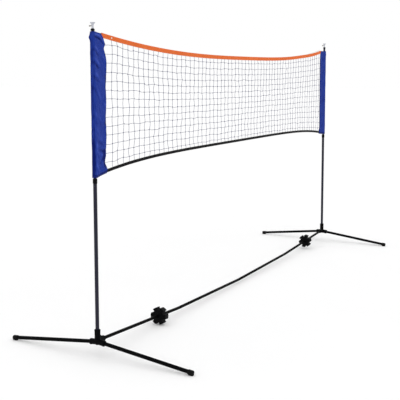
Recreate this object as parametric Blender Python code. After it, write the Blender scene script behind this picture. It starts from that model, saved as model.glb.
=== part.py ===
"""Portable badminton net: a free-standing frame with two telescopic posts and a net slung between them.

Metres, +Z up. The origin is on the ground, under the middle of the net. X runs along the net and Y across it,
so the two pairs of legs lie along Y. Running the script builds one object for each piece.
"""
import math

import bmesh
import bpy
from mathutils import Matrix, Vector

# Overall size
SPAN = 3.0                # between the post axes
LEG_REACH = 0.505         # from a post axis to a leg's tip, across the net
POST_TOP = 1.500          # underside of the post's cap
HUB_Z = 0.072             # height of the hub's centre
LEG_TIP_Z = 0.0115        # height of a leg's axis at its tip
TRAVEL = 0.655            # how far the posts shorten
GAP = 0.0003              # between pieces that touch

# Tubes, as outer radius and wall
LOWER_R = 0.009
UPPER_R = 0.0075
BAR_R = 0.008
LEG_R = 0.009
WALL = 0.001
SIDES = 24
SHARP_ANGLE = math.radians(35)
PAST = 0.010              # how far a cutter runs past what it cuts

# Hub
SOCKET_WALL = 0.0048
LEG_SOCKET_REACH = 0.041  # from the hub's centre to a socket's mouth
BAR_SOCKET_REACH = 0.050
POST_SOCKET_TOP = 0.130
SOCKET_HEEL = 0.010       # from the hub's centre to a socket's closed end
TUBE_STOP = 0.020         # from the hub's centre to a tube's inner end
RIB_THICKNESS = 0.005

# Posts
LOWER_TOP = 0.830
COLLAR_HEIGHT = 0.022
COLLAR_LIP = 0.004
COLLAR_R = 0.0105
UPPER_BOTTOM = 0.785
LOCK_DROP = 0.030         # how far the lock reaches below the upper tube
LOCK_RING_R = 0.0076
LOCK_SHANK_R = 0.003
LOCK_SLOT = 0.002
LOCK_FLANGE = 0.003
LOCK_PLUG_REACH = 0.020   # into the upper tube
LOCK_EDGE = 0.0006

# Crossbar: four straight tubes, whose joints sag between the hubs
BAR_LIFT = 0.005           # the crossbar socket is set above the hub's centre
BAR_JOINT_Z = 0.036       # at the quarter points
BAR_MIDDLE_Z = 0.0225
COUPLER_R = 0.0062
COUPLER_HALF = 0.028
BAR_END_GAP = 0.0004

# Star supports, threaded on the crossbar
STAR_R = 0.0455
STAR_ROOT_R = 0.0325
STAR_NECK = 0.022           # each tooth's width between the notches
STAR_HEAD = 0.026           # and at its tip, which is wider
STAR_HEAD_R = 0.0385        # where the head begins
STAR_TEETH = 6
STAR_LEFT_TURN = math.radians(30.5)
STAR_RIGHT_TURN = math.radians(13.5)
STAR_THICK = 0.034
STAR_BOSS_R = 0.0135
STAR_BOSS_HALF = 0.021
STAR_LEFT_X = -0.950
STAR_RIGHT_X = 1.142

# Foot caps
FOOT_R = 0.0115
FOOT_LENGTH = 0.027
FOOT_CORK = 0.005         # solid end beyond the tube
FOOT_CHAMFER = 0.0015
SOLE_WIDTH = 0.014
SOLE_INSET = 0.003        # from the foot cap's mouth to the sole's edge
SOLE_TOE = 0.001          # from the foot cap's end to the sole's other edge
SOLE_TOP = 0.002          # the sole's root, above the leg's axis

# Top fittings
CAP_R = 0.010
CAP_HEIGHT = 0.009
CAP_PLUG = 0.012          # into the upper tube
STUD_R = 0.0020           # joins the cleat to the cap
STUD_LENGTH = 0.006
CLEAT_HEIGHT = 0.028
CLEAT_RIM_R = 0.012
CLEAT_WAIST_R = 0.0048
PIN_R = 0.0025
PIN_REACH = 0.019
PIN_HEIGHT = 0.43 * CLEAT_HEIGHT
PIN_ROOT = 0.0010         # the pin's hole starts here, from the cleat's axis

# Net and its edges
SLEEVE_IN_R = 0.0115
SLEEVE_SKIN = 0.0015
SLEEVE_WIDTH = 0.100      # from the post's axis to the sleeve's inner edge
SLEEVE_FLAP = 0.003
SLEEVE_TOP = 1.497
SLEEVE_TOP_DROP = 0.012   # the top edge falls towards the net
SLEEVE_BOTTOM = 0.838
SLEEVE_BOTTOM_RISE = 0.020
BAND_THICK = 0.0044
BAND_WALL = 0.0009
TOP_BAND_HALF = 0.011
BOTTOM_BAND_HALF = 0.007
TOP_BAND_END_Z = 1.478
TOP_BAND_SAG = 0.0763
TOP_BAND_LEFT_POWER = 2.54   # the sag is a little fuller towards the right post
TOP_BAND_RIGHT_POWER = 3.33
BOTTOM_BAND_END_Z = 0.8606
BOTTOM_BAND_RISE = 0.0386
BOTTOM_BAND_POWER = 4.5
BAND_STATIONS = 24
NET_THICK = 0.001
CORD_R = 0.0012
HEAD_CORD_LIFT = 0.0070
FOOT_CORD_DROP = 0.0035
EYELET_INSET = 0.044      # from the sleeve's edge
EYELET_FLANGE_R = 0.0045
EYELET_BARREL_R = 0.0025
EYELET_BORE_R = 0.0016
EYELET_FLANGE = 0.0008

POST_X = SPAN / 2
NET_END_X = POST_X - SLEEVE_WIDTH
LEG_SLOPE = math.atan2(HUB_Z - LEG_TIP_Z, LEG_REACH)
BAR_SLOPE = math.atan2(HUB_Z + BAR_LIFT - BAR_JOINT_Z, SPAN / 4)
SIDE_SIGNS = {"left": -1, "right": 1}

COLOURS = {
    "black_paint": ((0.012, 0.012, 0.015), 0.32, 0.6),
    "gloss_black": ((0.010, 0.010, 0.011), 0.25, 0.0),
    "matte_black": ((0.018, 0.018, 0.018), 0.6, 0.0),
    "grey_plastic": ((0.47, 0.49, 0.54), 0.4, 0.0),
    "dark_pin": ((0.16, 0.15, 0.13), 0.45, 0.3),
    "blue_fabric": ((0.018, 0.034, 0.25), 0.75, 0.0),
    "orange_tape": ((0.80, 0.19, 0.045), 0.7, 0.0),
    "black_tape": ((0.012, 0.012, 0.012), 0.75, 0.0),
    "net_cord": ((0.035, 0.035, 0.04), 0.8, 0.0),
    "white_cord": ((0.75, 0.74, 0.70), 0.8, 0.0),
    "lock_plastic": ((0.10, 0.10, 0.11), 0.5, 0.0),
    "eyelet_metal": ((0.80, 0.78, 0.75), 0.3, 1.0),
}


def clear_scene():
    for item in list(bpy.data.objects):
        bpy.data.objects.remove(item, do_unlink=True)


def make_materials():
    """One Principled material for each finish."""
    made = {}
    for name, (colour, roughness, metallic) in COLOURS.items():
        material = bpy.data.materials.new(name)
        material.use_nodes = True
        shader = material.node_tree.nodes["Principled BSDF"]
        shader.inputs["Base Color"].default_value = (*colour, 1.0)
        shader.inputs["Roughness"].default_value = roughness
        shader.inputs["Metallic"].default_value = metallic
        made[name] = material
    return made


def link(name, data, material=None):
    item = bpy.data.objects.new(name, data)
    bpy.context.scene.collection.objects.link(item)
    if material is not None:
        data.materials.clear()
        data.materials.append(material)
    return item


def mesh_from(bm, name, smooth=True):
    """Closes a bmesh into a mesh with outward normals."""
    bmesh.ops.recalc_face_normals(bm, faces=bm.faces)
    mesh = bpy.data.meshes.new(name)
    bm.to_mesh(mesh)
    bm.free()
    if smooth:
        mesh.shade_smooth()
        mesh.set_sharp_from_angle(angle=SHARP_ANGLE)
    return mesh


def turned(name, profile, sides=SIDES):
    """A solid of revolution about Z. The profile is a closed ring of (radius, height) points, or an open run
    that starts and ends on the axis."""
    bm = bmesh.new()
    points = [bm.verts.new((radius, 0.0, height)) for radius, height in profile]
    edges = [bm.edges.new(pair) for pair in zip(points, points[1:])]
    if profile[0][0] > 0:
        edges.append(bm.edges.new((points[-1], points[0])))
    bmesh.ops.spin(
        bm, geom=points + edges, cent=(0, 0, 0), axis=(0, 0, 1), dvec=(0, 0, 0),
        angle=math.tau, steps=sides, use_merge=True, use_duplicate=False,
    )
    bmesh.ops.remove_doubles(bm, verts=bm.verts, dist=1e-6)
    return mesh_from(bm, name)


def tube_mesh(name, radius, length, wall=WALL):
    return turned(name, [(radius, 0), (radius, length), (radius - wall, length), (radius - wall, 0)])


def rod_mesh(name, radius, low, high, chamfer=0.0):
    """A solid rod from low to high on the Z axis, with both rims chamfered."""
    return turned(name, [
        (0, low), (radius - chamfer, low), (radius, low + chamfer),
        (radius, high - chamfer), (radius - chamfer, high), (0, high),
    ] if chamfer else [(0, low), (radius, low), (radius, high), (0, high)])


def block_mesh(name, low, high):
    bm = bmesh.new()
    bmesh.ops.create_cube(bm, size=1.0)
    size = Vector(high) - Vector(low)
    middle = (Vector(high) + Vector(low)) / 2
    bmesh.ops.scale(bm, vec=size, verts=bm.verts)
    bmesh.ops.translate(bm, vec=middle, verts=bm.verts)
    return mesh_from(bm, name, smooth=False)


def combined(name, base, joins=(), cuts=()):
    """The base mesh with placed meshes joined to it and then cut from it. Each is a (mesh, matrix) pair."""
    body = link(name + "_base", base)
    helpers = []
    for operation, pairs in (("UNION", joins), ("DIFFERENCE", cuts)):
        for mesh, matrix in pairs:
            helper = link(name + "_tool", mesh)
            helper.matrix_world = matrix
            helper.hide_render = True
            helper.display_type = "WIRE"
            helpers.append(helper)
            step = body.modifiers.new("step", "BOOLEAN")
            step.operation = operation
            step.object = helper
    bpy.context.view_layer.update()
    result = bpy.data.meshes.new_from_object(body.evaluated_get(bpy.context.evaluated_depsgraph_get()))
    result.name = name
    for item in [body, *helpers]:
        bpy.data.objects.remove(item, do_unlink=True)
    result.shade_smooth()
    result.set_sharp_from_angle(angle=SHARP_ANGLE)
    return result


def leg_turn(sign):
    """Turns local +Z down a leg: sign is +1 for the rear leg, along +Y, and -1 for the front one."""
    return Matrix.Rotation(-sign * (math.pi / 2 + LEG_SLOPE), 4, "X")


def bar_turn(slope):
    """Turns local +Z along +X, sloping down by the angle given."""
    return Matrix.Rotation(math.pi / 2 + slope, 4, "Y")


def gusset_mesh():
    """The web between the post socket and the crossbar socket."""
    outline = [(0.004, 0.0), (0.046, 0.0), (0.046, 0.0155), (0.036, 0.0185), (0.022, 0.0250), (0.004, 0.0420)]
    half = RIB_THICKNESS / 2
    bm = bmesh.new()
    near = [bm.verts.new((x, -half, z)) for x, z in outline]
    raised = bmesh.ops.extrude_face_region(bm, geom=[bm.faces.new(near)])
    far = [item for item in raised["geom"] if isinstance(item, bmesh.types.BMVert)]
    bmesh.ops.translate(bm, vec=(0, 2 * half, 0), verts=far)
    return mesh_from(bm, "gusset", smooth=False)


def hub_mesh():
    """The left hub about its own centre: two leg sockets, a post socket and a crossbar socket towards +X."""
    chamfer = 0.002

    def socket(radius, reach):
        return rod_mesh("socket", radius + SOCKET_WALL, -SOCKET_HEEL, reach, chamfer)

    def bore(radius, stop, reach):
        return rod_mesh("bore", radius + GAP, stop, reach + PAST)

    post_reach = POST_SOCKET_TOP - HUB_Z
    bar_place = Matrix.Translation((0, 0, BAR_LIFT)) @ bar_turn(BAR_SLOPE)
    base = socket(LOWER_R, post_reach)
    joins = [
        (socket(LEG_R, LEG_SOCKET_REACH), leg_turn(1)),
        (socket(LEG_R, LEG_SOCKET_REACH), leg_turn(-1)),
        (socket(BAR_R, BAR_SOCKET_REACH), bar_place),
        (gusset_mesh(), Matrix.Identity(4)),
    ]
    cuts = [
        (bore(LOWER_R, TUBE_STOP - GAP, post_reach), Matrix.Identity(4)),
        (bore(LEG_R, TUBE_STOP - GAP, LEG_SOCKET_REACH), leg_turn(1)),
        (bore(LEG_R, TUBE_STOP - GAP, LEG_SOCKET_REACH), leg_turn(-1)),
        (bore(BAR_R, TUBE_STOP - GAP, BAR_SOCKET_REACH), bar_place),
    ]
    return combined("hub", base, joins, cuts)


def foot_mesh():
    """A rear foot cap about the leg's tip, its flat sole on the ground."""
    end = FOOT_CORK
    start = end - FOOT_LENGTH
    shell = rod_mesh("shell", FOOT_R, start, end, FOOT_CHAMFER)
    half = SOLE_WIDTH / 2
    sole = block_mesh("sole", (-half, start + SOLE_INSET, -LEG_TIP_Z), (half, end - SOLE_TOE, SOLE_TOP))
    wide = 2 * FOOT_LENGTH
    below = block_mesh("below", (-wide, -wide, -wide), (wide, wide, -LEG_TIP_Z))
    bore = rod_mesh("bore", LEG_R + GAP, start - PAST, GAP)
    return combined("foot", sole, [(shell, leg_turn(1))], [(bore, leg_turn(1)), (below, Matrix.Identity(4))])


def collar_mesh():
    """The plastic ring over the lower tube's mouth, which guides the upper tube."""
    top = COLLAR_LIP
    bottom = top - COLLAR_HEIGHT
    return turned("collar", [
        (UPPER_R + GAP, top), (COLLAR_R - 0.0008, top), (COLLAR_R, top - 0.0008), (COLLAR_R, bottom),
        (LOWER_R + GAP, bottom), (LOWER_R + GAP, GAP), (UPPER_R + GAP, GAP),
    ])


def lock_plug_mesh():
    """The plug in the upper tube's foot, with the shank that the lock ring turns on."""
    inside = UPPER_R - WALL - GAP
    flange = LOCK_RING_R - LOCK_EDGE
    shoulder = UPPER_R - 0.0004
    return turned("lock_plug", [
        (0, -LOCK_DROP), (flange - LOCK_EDGE, -LOCK_DROP), (flange, -LOCK_DROP + LOCK_EDGE),
        (flange, -LOCK_DROP + LOCK_FLANGE), (LOCK_SHANK_R, -LOCK_DROP + LOCK_FLANGE),
        (LOCK_SHANK_R, -LOCK_FLANGE), (shoulder, -LOCK_FLANGE), (shoulder, -GAP),
        (inside, -GAP), (inside, LOCK_PLUG_REACH), (0, LOCK_PLUG_REACH),
    ], sides=16)


def lock_ring_mesh():
    """The split ring of the twist lock, between the plug's two flanges."""
    low = -LOCK_DROP + LOCK_FLANGE + GAP
    high = -LOCK_FLANGE - GAP
    ring = turned("ring", [
        (LOCK_SHANK_R + GAP, low), (LOCK_RING_R - LOCK_EDGE, low), (LOCK_RING_R, low + LOCK_EDGE),
        (LOCK_RING_R, high - LOCK_EDGE), (LOCK_RING_R - LOCK_EDGE, high), (LOCK_SHANK_R + GAP, high),
    ])
    slot = block_mesh("slot", (0, -LOCK_SLOT / 2, low - PAST), (2 * PAST, LOCK_SLOT / 2, high + PAST))
    return combined("lock_ring", ring, cuts=[(slot, Matrix.Identity(4))])


def cap_mesh():
    """The plug and flange that close the upper tube, with a blind hole for the cleat's stud."""
    inside = UPPER_R - WALL - GAP
    hole = STUD_R + GAP
    hole_floor = CAP_HEIGHT - STUD_LENGTH - 0.0005
    return turned("cap", [
        (0, -CAP_PLUG), (inside, -CAP_PLUG), (inside, 0.0), (CAP_R, 0.0), (CAP_R, CAP_HEIGHT - 0.003),
        (CAP_R - 0.001, CAP_HEIGHT - 0.001), (CAP_R - 0.003, CAP_HEIGHT), (hole, CAP_HEIGHT),
        (hole, hole_floor), (0, hole_floor),
    ])


def cleat_mesh():
    """The flared cord cleat about its foot, drilled from +Y for its pin."""
    body = turned("body", [
        (0, -STUD_LENGTH), (STUD_R, -STUD_LENGTH), (STUD_R, GAP),
        (0.0062, GAP), (0.0062, 0.002), (0.0052, 0.004),
        (CLEAT_WAIST_R, 0.008), (0.0052, 0.014), (0.0068, 0.019), (0.0095, 0.0235),
        (CLEAT_RIM_R, CLEAT_HEIGHT - 0.0022), (CLEAT_RIM_R, CLEAT_HEIGHT - 0.0008),
        (CLEAT_RIM_R - 0.0008, CLEAT_HEIGHT), (0.006, CLEAT_HEIGHT - 0.002), (0, CLEAT_HEIGHT - 0.003),
    ], sides=16)
    drill = rod_mesh("drill", PIN_R + GAP, PIN_ROOT, 2 * PAST)
    place = Matrix.Translation((0, 0, PIN_HEIGHT)) @ Matrix.Rotation(-math.pi / 2, 4, "X")
    return combined("cleat", body, cuts=[(drill, place)])


def pin_mesh():
    head = 0.0031
    root = PIN_ROOT + GAP
    return turned("pin", [
        (0, root), (PIN_R, root), (PIN_R, PIN_REACH - 0.005), (head, PIN_REACH - 0.0042),
        (head, PIN_REACH - 0.0012), (head - 0.0012, PIN_REACH), (0, PIN_REACH),
    ], sides=16)


def star_mesh():
    """A wheel with hammer-headed teeth, bored for the crossbar, its axis along local Z."""
    corner = 0.0022
    neck = STAR_NECK / 2
    head = STAR_HEAD / 2
    shoulder = math.sqrt(STAR_R ** 2 - head ** 2) - corner
    flank = [
        (math.sqrt(STAR_ROOT_R ** 2 - neck ** 2), neck), (STAR_HEAD_R - corner, neck), (STAR_HEAD_R, head),
        (shoulder, head), (math.sqrt(STAR_R ** 2 - (head - corner) ** 2), head - corner),
    ]
    tooth = [(x, -y) for x, y in flank] + [(STAR_R, 0.0)] + list(reversed(flank))
    outline = []
    for number in range(STAR_TEETH):
        turn = math.tau * number / STAR_TEETH
        for x, y in tooth:
            outline.append((
                x * math.cos(turn) - y * math.sin(turn),
                x * math.sin(turn) + y * math.cos(turn),
            ))
    bm = bmesh.new()
    rim = [bm.verts.new((x, y, -STAR_THICK / 2)) for x, y in outline]
    face = bm.faces.new(rim)
    raised = bmesh.ops.extrude_face_region(bm, geom=[face])
    top = [item for item in raised["geom"] if isinstance(item, bmesh.types.BMVert)]
    bmesh.ops.translate(bm, vec=(0, 0, STAR_THICK), verts=top)
    wheel = mesh_from(bm, "wheel")
    boss = rod_mesh("boss", STAR_BOSS_R, -STAR_BOSS_HALF, STAR_BOSS_HALF, 0.0012)
    bore = rod_mesh("bore", BAR_R + GAP, -STAR_BOSS_HALF - PAST, STAR_BOSS_HALF + PAST)
    return combined("star", wheel, [(boss, Matrix.Identity(4))], [(bore, Matrix.Identity(4))])


def sleeve_mesh():
    """The left sleeve: a pocket round the post, at the origin, and a doubled flap towards +X."""
    out_r = SLEEVE_IN_R + SLEEVE_SKIN
    half = SLEEVE_FLAP / 2
    start = math.asin(half / out_r)
    steps = 28
    outline = [(SLEEVE_WIDTH, -half), (SLEEVE_WIDTH, half)]
    for step in range(steps + 1):
        angle = start + (math.tau - 2 * start) * step / steps
        outline.append((out_r * math.cos(angle), out_r * math.sin(angle)))

    def top(x):
        return SLEEVE_TOP - SLEEVE_TOP_DROP * max(x, 0) / SLEEVE_WIDTH

    def bottom(x):
        return SLEEVE_BOTTOM + SLEEVE_BOTTOM_RISE * max(x, 0) / SLEEVE_WIDTH

    bm = bmesh.new()
    low = [bm.verts.new((x, y, bottom(x))) for x, y in outline]
    high = [bm.verts.new((x, y, top(x))) for x, y in outline]
    bm.faces.new(reversed(low))
    bm.faces.new(high)
    for i in range(len(outline)):
        j = (i + 1) % len(outline)
        bm.faces.new((low[i], low[j], high[j], high[i]))
    bmesh.ops.triangulate(bm, faces=bm.faces)
    body = mesh_from(bm, "body")
    pocket = rod_mesh("pocket", SLEEVE_IN_R, SLEEVE_BOTTOM - PAST, SLEEVE_TOP + PAST)
    return combined("sleeve", body, cuts=[(pocket, Matrix.Identity(4))])


def top_band_z(x):
    """Height of the top band's middle, which sags between the sleeves."""
    share = min(abs(x) / NET_END_X, 1.0)
    power = TOP_BAND_LEFT_POWER if x < 0 else TOP_BAND_RIGHT_POWER
    return TOP_BAND_END_Z - TOP_BAND_SAG * (1 - share ** power)


def bottom_band_z(x):
    """Height of the bottom band's middle, which the net draws up between the sleeves."""
    share = min(abs(x) / NET_END_X, 1.0)
    return BOTTOM_BAND_END_Z + BOTTOM_BAND_RISE * (1 - share ** BOTTOM_BAND_POWER)


def stations():
    """Places along the net, closer together towards its ends."""
    reach = NET_END_X - GAP
    return [-reach * math.cos(math.pi * i / BAND_STATIONS) for i in range(BAND_STATIONS + 1)]


def swept(name, rings):
    """A closed solid through matching rings of points, with flat ends."""
    bm = bmesh.new()
    loops = [[bm.verts.new(point) for point in ring] for ring in rings]
    count = len(loops[0])
    for first, second in zip(loops, loops[1:]):
        for i in range(count):
            j = (i + 1) % count
            bm.faces.new((first[i], first[j], second[j], second[i]))
    bm.faces.new(loops[0])
    bm.faces.new(reversed(loops[-1]))
    return mesh_from(bm, name, smooth=False)


def band_mesh(name, middle, half):
    """A folded tape, hollow from end to end for its cord."""
    def ring(x, y, z):
        return [(x, -y, middle(x) - z), (x, y, middle(x) - z), (x, y, middle(x) + z), (x, -y, middle(x) + z)]

    places = stations()
    outside = swept(name, [ring(x, BAND_THICK / 2, half) for x in places])
    longer = [places[0] - PAST, *places[1:-1], places[-1] + PAST]
    hollow = swept("hollow", [ring(x, BAND_THICK / 2 - BAND_WALL, half - BAND_WALL) for x in longer])
    cuts = [(hollow, Matrix.Identity(4))]
    if name == "top_band":
        drill = rod_mesh("drill", EYELET_BARREL_R + GAP, -PAST, PAST)
        for sign in SIDE_SIGNS.values():
            place = Matrix.Translation(eyelet_place(sign)) @ Matrix.Rotation(math.pi / 2, 4, "X")
            cuts.append((drill.copy(), place))
    return combined(name, outside, cuts=cuts)


def eyelet_place(sign):
    x = sign * (NET_END_X - EYELET_INSET)
    return Vector((x, 0, top_band_z(x)))


def eyelet_mesh():
    """A pressed eyelet through the top band, its axis along local Z."""
    face = BAND_THICK / 2 + GAP
    rim = face + EYELET_FLANGE
    return turned("eyelet", [
        (EYELET_BORE_R, -rim), (EYELET_FLANGE_R, -rim), (EYELET_FLANGE_R, -face), (EYELET_BARREL_R, -face),
        (EYELET_BARREL_R, face), (EYELET_FLANGE_R, face), (EYELET_FLANGE_R, rim), (EYELET_BORE_R, rim),
    ], sides=16)


def net_mesh():
    """The net as one thin panel between the bands."""
    half = NET_THICK / 2

    def ring(x):
        low = bottom_band_z(x) + BOTTOM_BAND_HALF + GAP
        high = top_band_z(x) - TOP_BAND_HALF - GAP
        return [(x, -half, low), (x, half, low), (x, half, high), (x, -half, high)]

    return swept("net_panel", [ring(x) for x in stations()])


def cord_curve(name, height):
    """A cord along its band, from end to end."""
    curve = bpy.data.curves.new(name, "CURVE")
    curve.dimensions = "3D"
    curve.bevel_depth = CORD_R
    curve.bevel_resolution = 2
    curve.use_fill_caps = True
    places = stations()
    spline = curve.splines.new("POLY")
    spline.points.add(len(places) - 1)
    for point, x in zip(spline.points, places):
        point.co = (x, 0, height(x), 1)
    return curve


def holder(name, place):
    """An empty on a joint's axis, which carries the pieces that move together."""
    item = bpy.data.objects.new(name, None)
    item.location = place
    bpy.context.scene.collection.objects.link(item)
    return item


def put(name, mesh, material, place=(0, 0, 0), turn=None, parent=None):
    """Adds a piece at a place in the world, under its parent if it has one."""
    item = link(name, mesh, material)
    at = Vector(place)
    if parent is not None:
        item.parent = parent
        at = at - parent.location
    item.matrix_local = Matrix.Translation(at) @ (turn or Matrix.Identity(4))
    return item


def build_base(finish):
    """Hubs, legs, feet, lower posts and collars."""
    hub = hub_mesh()
    foot = foot_mesh()
    collar = collar_mesh()
    leg_length = math.hypot(LEG_REACH, HUB_Z - LEG_TIP_Z) - TUBE_STOP
    leg = tube_mesh("leg", LEG_R, leg_length)
    lower_bottom = HUB_Z + TUBE_STOP
    lower = tube_mesh("lower_post", LOWER_R, LOWER_TOP - lower_bottom)
    for side, sign in SIDE_SIGNS.items():
        x = sign * POST_X
        face_in = Matrix.Rotation(0 if side == "left" else math.pi, 4, "Z")
        put(side + "_hub", hub, finish["gloss_black"], (x, 0, HUB_Z), face_in)
        put(side + "_lower_post", lower, finish["black_paint"], (x, 0, lower_bottom))
        put(side + "_post_collar", collar, finish["gloss_black"], (x, 0, LOWER_TOP))
        for end, way in (("front", -1), ("rear", 1)):
            along = leg_turn(way) @ Vector((0, 0, 1))
            start = Vector((x, 0, HUB_Z)) + along * TUBE_STOP
            put(f"{side}_{end}_leg", leg, finish["black_paint"], start, leg_turn(way))
            about = Matrix.Rotation(0 if way > 0 else math.pi, 4, "Z")
            put(f"{side}_{end}_foot", foot, finish["matte_black"], (x, way * LEG_REACH, LEG_TIP_Z), about)


def bar_axis():
    """The crossbar's joints, from the left hub to the right one."""
    hub = HUB_Z + BAR_LIFT
    heights = [hub, BAR_JOINT_Z, BAR_MIDDLE_Z, BAR_JOINT_Z, hub]
    return [Vector((-POST_X + SPAN * i / 4, 0, z)) for i, z in enumerate(heights)]


def build_crossbar(finish):
    """Four tubes and the three couplers inside their joints."""
    joints = bar_axis()
    slopes = []
    for i, (start, end) in enumerate(zip(joints, joints[1:])):
        along = (end - start).normalized()
        slopes.append(-math.asin(along.z))
        first = start + along * (TUBE_STOP if i == 0 else BAR_END_GAP)
        last = end - along * (TUBE_STOP if i == 3 else BAR_END_GAP)
        tube = tube_mesh("bar", BAR_R, (last - first).length)
        put(f"crossbar_tube_{i + 1}", tube, finish["black_paint"], first, bar_turn(slopes[i]))
    coupler = tube_mesh("coupler", COUPLER_R, 2 * COUPLER_HALF)
    for i in range(3):
        turn = bar_turn((slopes[i] + slopes[i + 1]) / 2)
        start = joints[i + 1] - turn @ Vector((0, 0, COUPLER_HALF))
        put(f"crossbar_coupler_{i + 1}", coupler, finish["black_paint"], start, turn)


def star_place(x):
    """The point of the crossbar's axis above x, which is on one of the two outer tubes."""
    from_hub = POST_X - abs(x)
    return Vector((x, 0, HUB_Z + BAR_LIFT - from_hub * math.tan(BAR_SLOPE)))


def build_stars(finish):
    star = star_mesh()
    for side, x, slope, spin in (
        ("left", STAR_LEFT_X, BAR_SLOPE, STAR_LEFT_TURN),
        ("right", STAR_RIGHT_X, -BAR_SLOPE, STAR_RIGHT_TURN),
    ):
        axle = holder(side + "_star_axle", star_place(x))
        turn = bar_turn(slope) @ Matrix.Rotation(spin, 4, "Z")
        put(side + "_star_support", star, finish["gloss_black"], star_place(x), turn, axle)


def build_upper_posts(finish):
    """The telescoping halves of the posts, with their locks, caps, cleats and pins."""
    tube = tube_mesh("upper_post", UPPER_R, POST_TOP - GAP - UPPER_BOTTOM)
    plug = lock_plug_mesh()
    ring = lock_ring_mesh()
    cap = cap_mesh()
    cleat = cleat_mesh()
    pin = pin_mesh()
    cap_top = POST_TOP + CAP_HEIGHT
    pin_turn = Matrix.Rotation(-math.pi / 2, 4, "X")
    carriers = {}
    for side, sign in SIDE_SIGNS.items():
        x = sign * POST_X
        carrier = holder(side + "_post_carrier", (x, 0, UPPER_BOTTOM))
        carriers[side] = carrier
        put(side + "_upper_post", tube, finish["black_paint"], (x, 0, UPPER_BOTTOM), parent=carrier)
        put(side + "_lock_plug", plug, finish["lock_plastic"], (x, 0, UPPER_BOTTOM), parent=carrier)
        put(side + "_lock_ring", ring, finish["lock_plastic"], (x, 0, UPPER_BOTTOM), parent=carrier)
        put(side + "_top_cap", cap, finish["gloss_black"], (x, 0, POST_TOP), parent=carrier)
        put(side + "_cleat", cleat, finish["grey_plastic"], (x, 0, cap_top), parent=carrier)
        pin_at = (x, 0, cap_top + PIN_HEIGHT)
        put(side + "_cleat_pin", pin, finish["dark_pin"], pin_at, pin_turn, carrier)
    return carriers


def build_net(finish, carrier):
    """Sleeves, panel, bands, cords and eyelets. They all hang on the left post's carrier."""
    sleeve = sleeve_mesh()
    eyelet = eyelet_mesh()
    for side, sign in SIDE_SIGNS.items():
        about = Matrix.Rotation(0 if side == "left" else math.pi, 4, "Z")
        put(side + "_sleeve", sleeve, finish["blue_fabric"], (sign * POST_X, 0, 0), about, carrier)
        across = Matrix.Rotation(math.pi / 2, 4, "X")
        put(side + "_eyelet", eyelet, finish["eyelet_metal"], eyelet_place(sign), across, carrier)
    top = band_mesh("top_band", top_band_z, TOP_BAND_HALF)
    bottom = band_mesh("bottom_band", bottom_band_z, BOTTOM_BAND_HALF)
    head = cord_curve("head_cord", lambda x: top_band_z(x) + HEAD_CORD_LIFT)
    foot = cord_curve("foot_cord", lambda x: bottom_band_z(x) - FOOT_CORD_DROP)
    put("net_panel", net_mesh(), finish["net_cord"], parent=carrier)
    put("top_band", top, finish["orange_tape"], parent=carrier)
    put("bottom_band", bottom, finish["black_tape"], parent=carrier)
    put("head_cord", head, finish["white_cord"], parent=carrier)
    put("foot_cord", foot, finish["white_cord"], parent=carrier)


def main():
    clear_scene()
    finish = make_materials()
    build_base(finish)
    build_crossbar(finish)
    build_stars(finish)
    carriers = build_upper_posts(finish)
    build_net(finish, carriers["left"])


main()
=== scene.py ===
"""The looks of the portable badminton net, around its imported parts.

Metres, +Z up, in the parts' own frame: X along the net, Y across it, the ground at zero. Places and
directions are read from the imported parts. The net's sag and the sleeves' outline are given as curves.
"""

import math

import bmesh
import bpy
import numpy as np
from mathutils import Matrix, Vector, noise


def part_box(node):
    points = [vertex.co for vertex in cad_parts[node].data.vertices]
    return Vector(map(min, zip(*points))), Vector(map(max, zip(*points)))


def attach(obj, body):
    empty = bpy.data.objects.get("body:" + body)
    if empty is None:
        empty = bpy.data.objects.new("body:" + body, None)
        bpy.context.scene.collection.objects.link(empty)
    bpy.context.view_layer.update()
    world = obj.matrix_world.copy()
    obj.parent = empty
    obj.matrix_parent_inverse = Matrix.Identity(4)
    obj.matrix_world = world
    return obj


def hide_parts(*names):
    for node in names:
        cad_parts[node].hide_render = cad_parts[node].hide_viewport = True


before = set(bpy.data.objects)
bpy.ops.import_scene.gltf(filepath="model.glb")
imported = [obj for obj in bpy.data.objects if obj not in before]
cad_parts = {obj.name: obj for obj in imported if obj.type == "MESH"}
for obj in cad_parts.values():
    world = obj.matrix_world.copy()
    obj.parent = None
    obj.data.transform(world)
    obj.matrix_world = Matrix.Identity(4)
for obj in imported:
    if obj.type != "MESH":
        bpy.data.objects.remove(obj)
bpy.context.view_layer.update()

# Camera: where it stands, how it is turned, in radians, and its lens
CAMERA_AT = (-4.4500, -2.1556, 1.3075)
CAMERA_YAW = 0.5000       # from +X towards +Y
CAMERA_DOWN = 0.1069
CAMERA_ROLL = -0.0019
CAMERA_LENS = 72.32       # millimetres, on a 36 mm sensor
CAMERA_SHIFT = -0.10

# Net and its edges
POST_X = (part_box("right_upper_post")[0].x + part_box("right_upper_post")[1].x) / 2
SLEEVE_WIDTH = 0.100
NET_END_X = POST_X - SLEEVE_WIDTH
TOP_BAND_END_Z = 1.478
TOP_BAND_SAG = 0.0763
TOP_BAND_LEFT_POWER = 2.54
TOP_BAND_RIGHT_POWER = 3.33
TOP_BAND_HALF = 0.011
RIGHT_DROP = 0.010          # the tape hangs this much lower where it enters the right sleeve
RIGHT_DROP_FROM = 0.95
BOTTOM_BAND_END_Z = 0.8606
BOTTOM_BAND_RISE = 0.0386
BOTTOM_BAND_POWER = 4.5
BOTTOM_BAND_HALF = 0.0077
BAND_HALF_THICK = 0.0022
TWINE_R = 0.0009
FIRST_COLUMN_X = -1.359
COLUMN_PITCH = 0.0465
NET_COLUMNS = 60
NET_ROWS = 14
FIRST_ROW = 0.064          # share of the way from the top tape's middle to the bottom tape's
ROW_PITCH = 0.0682

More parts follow.
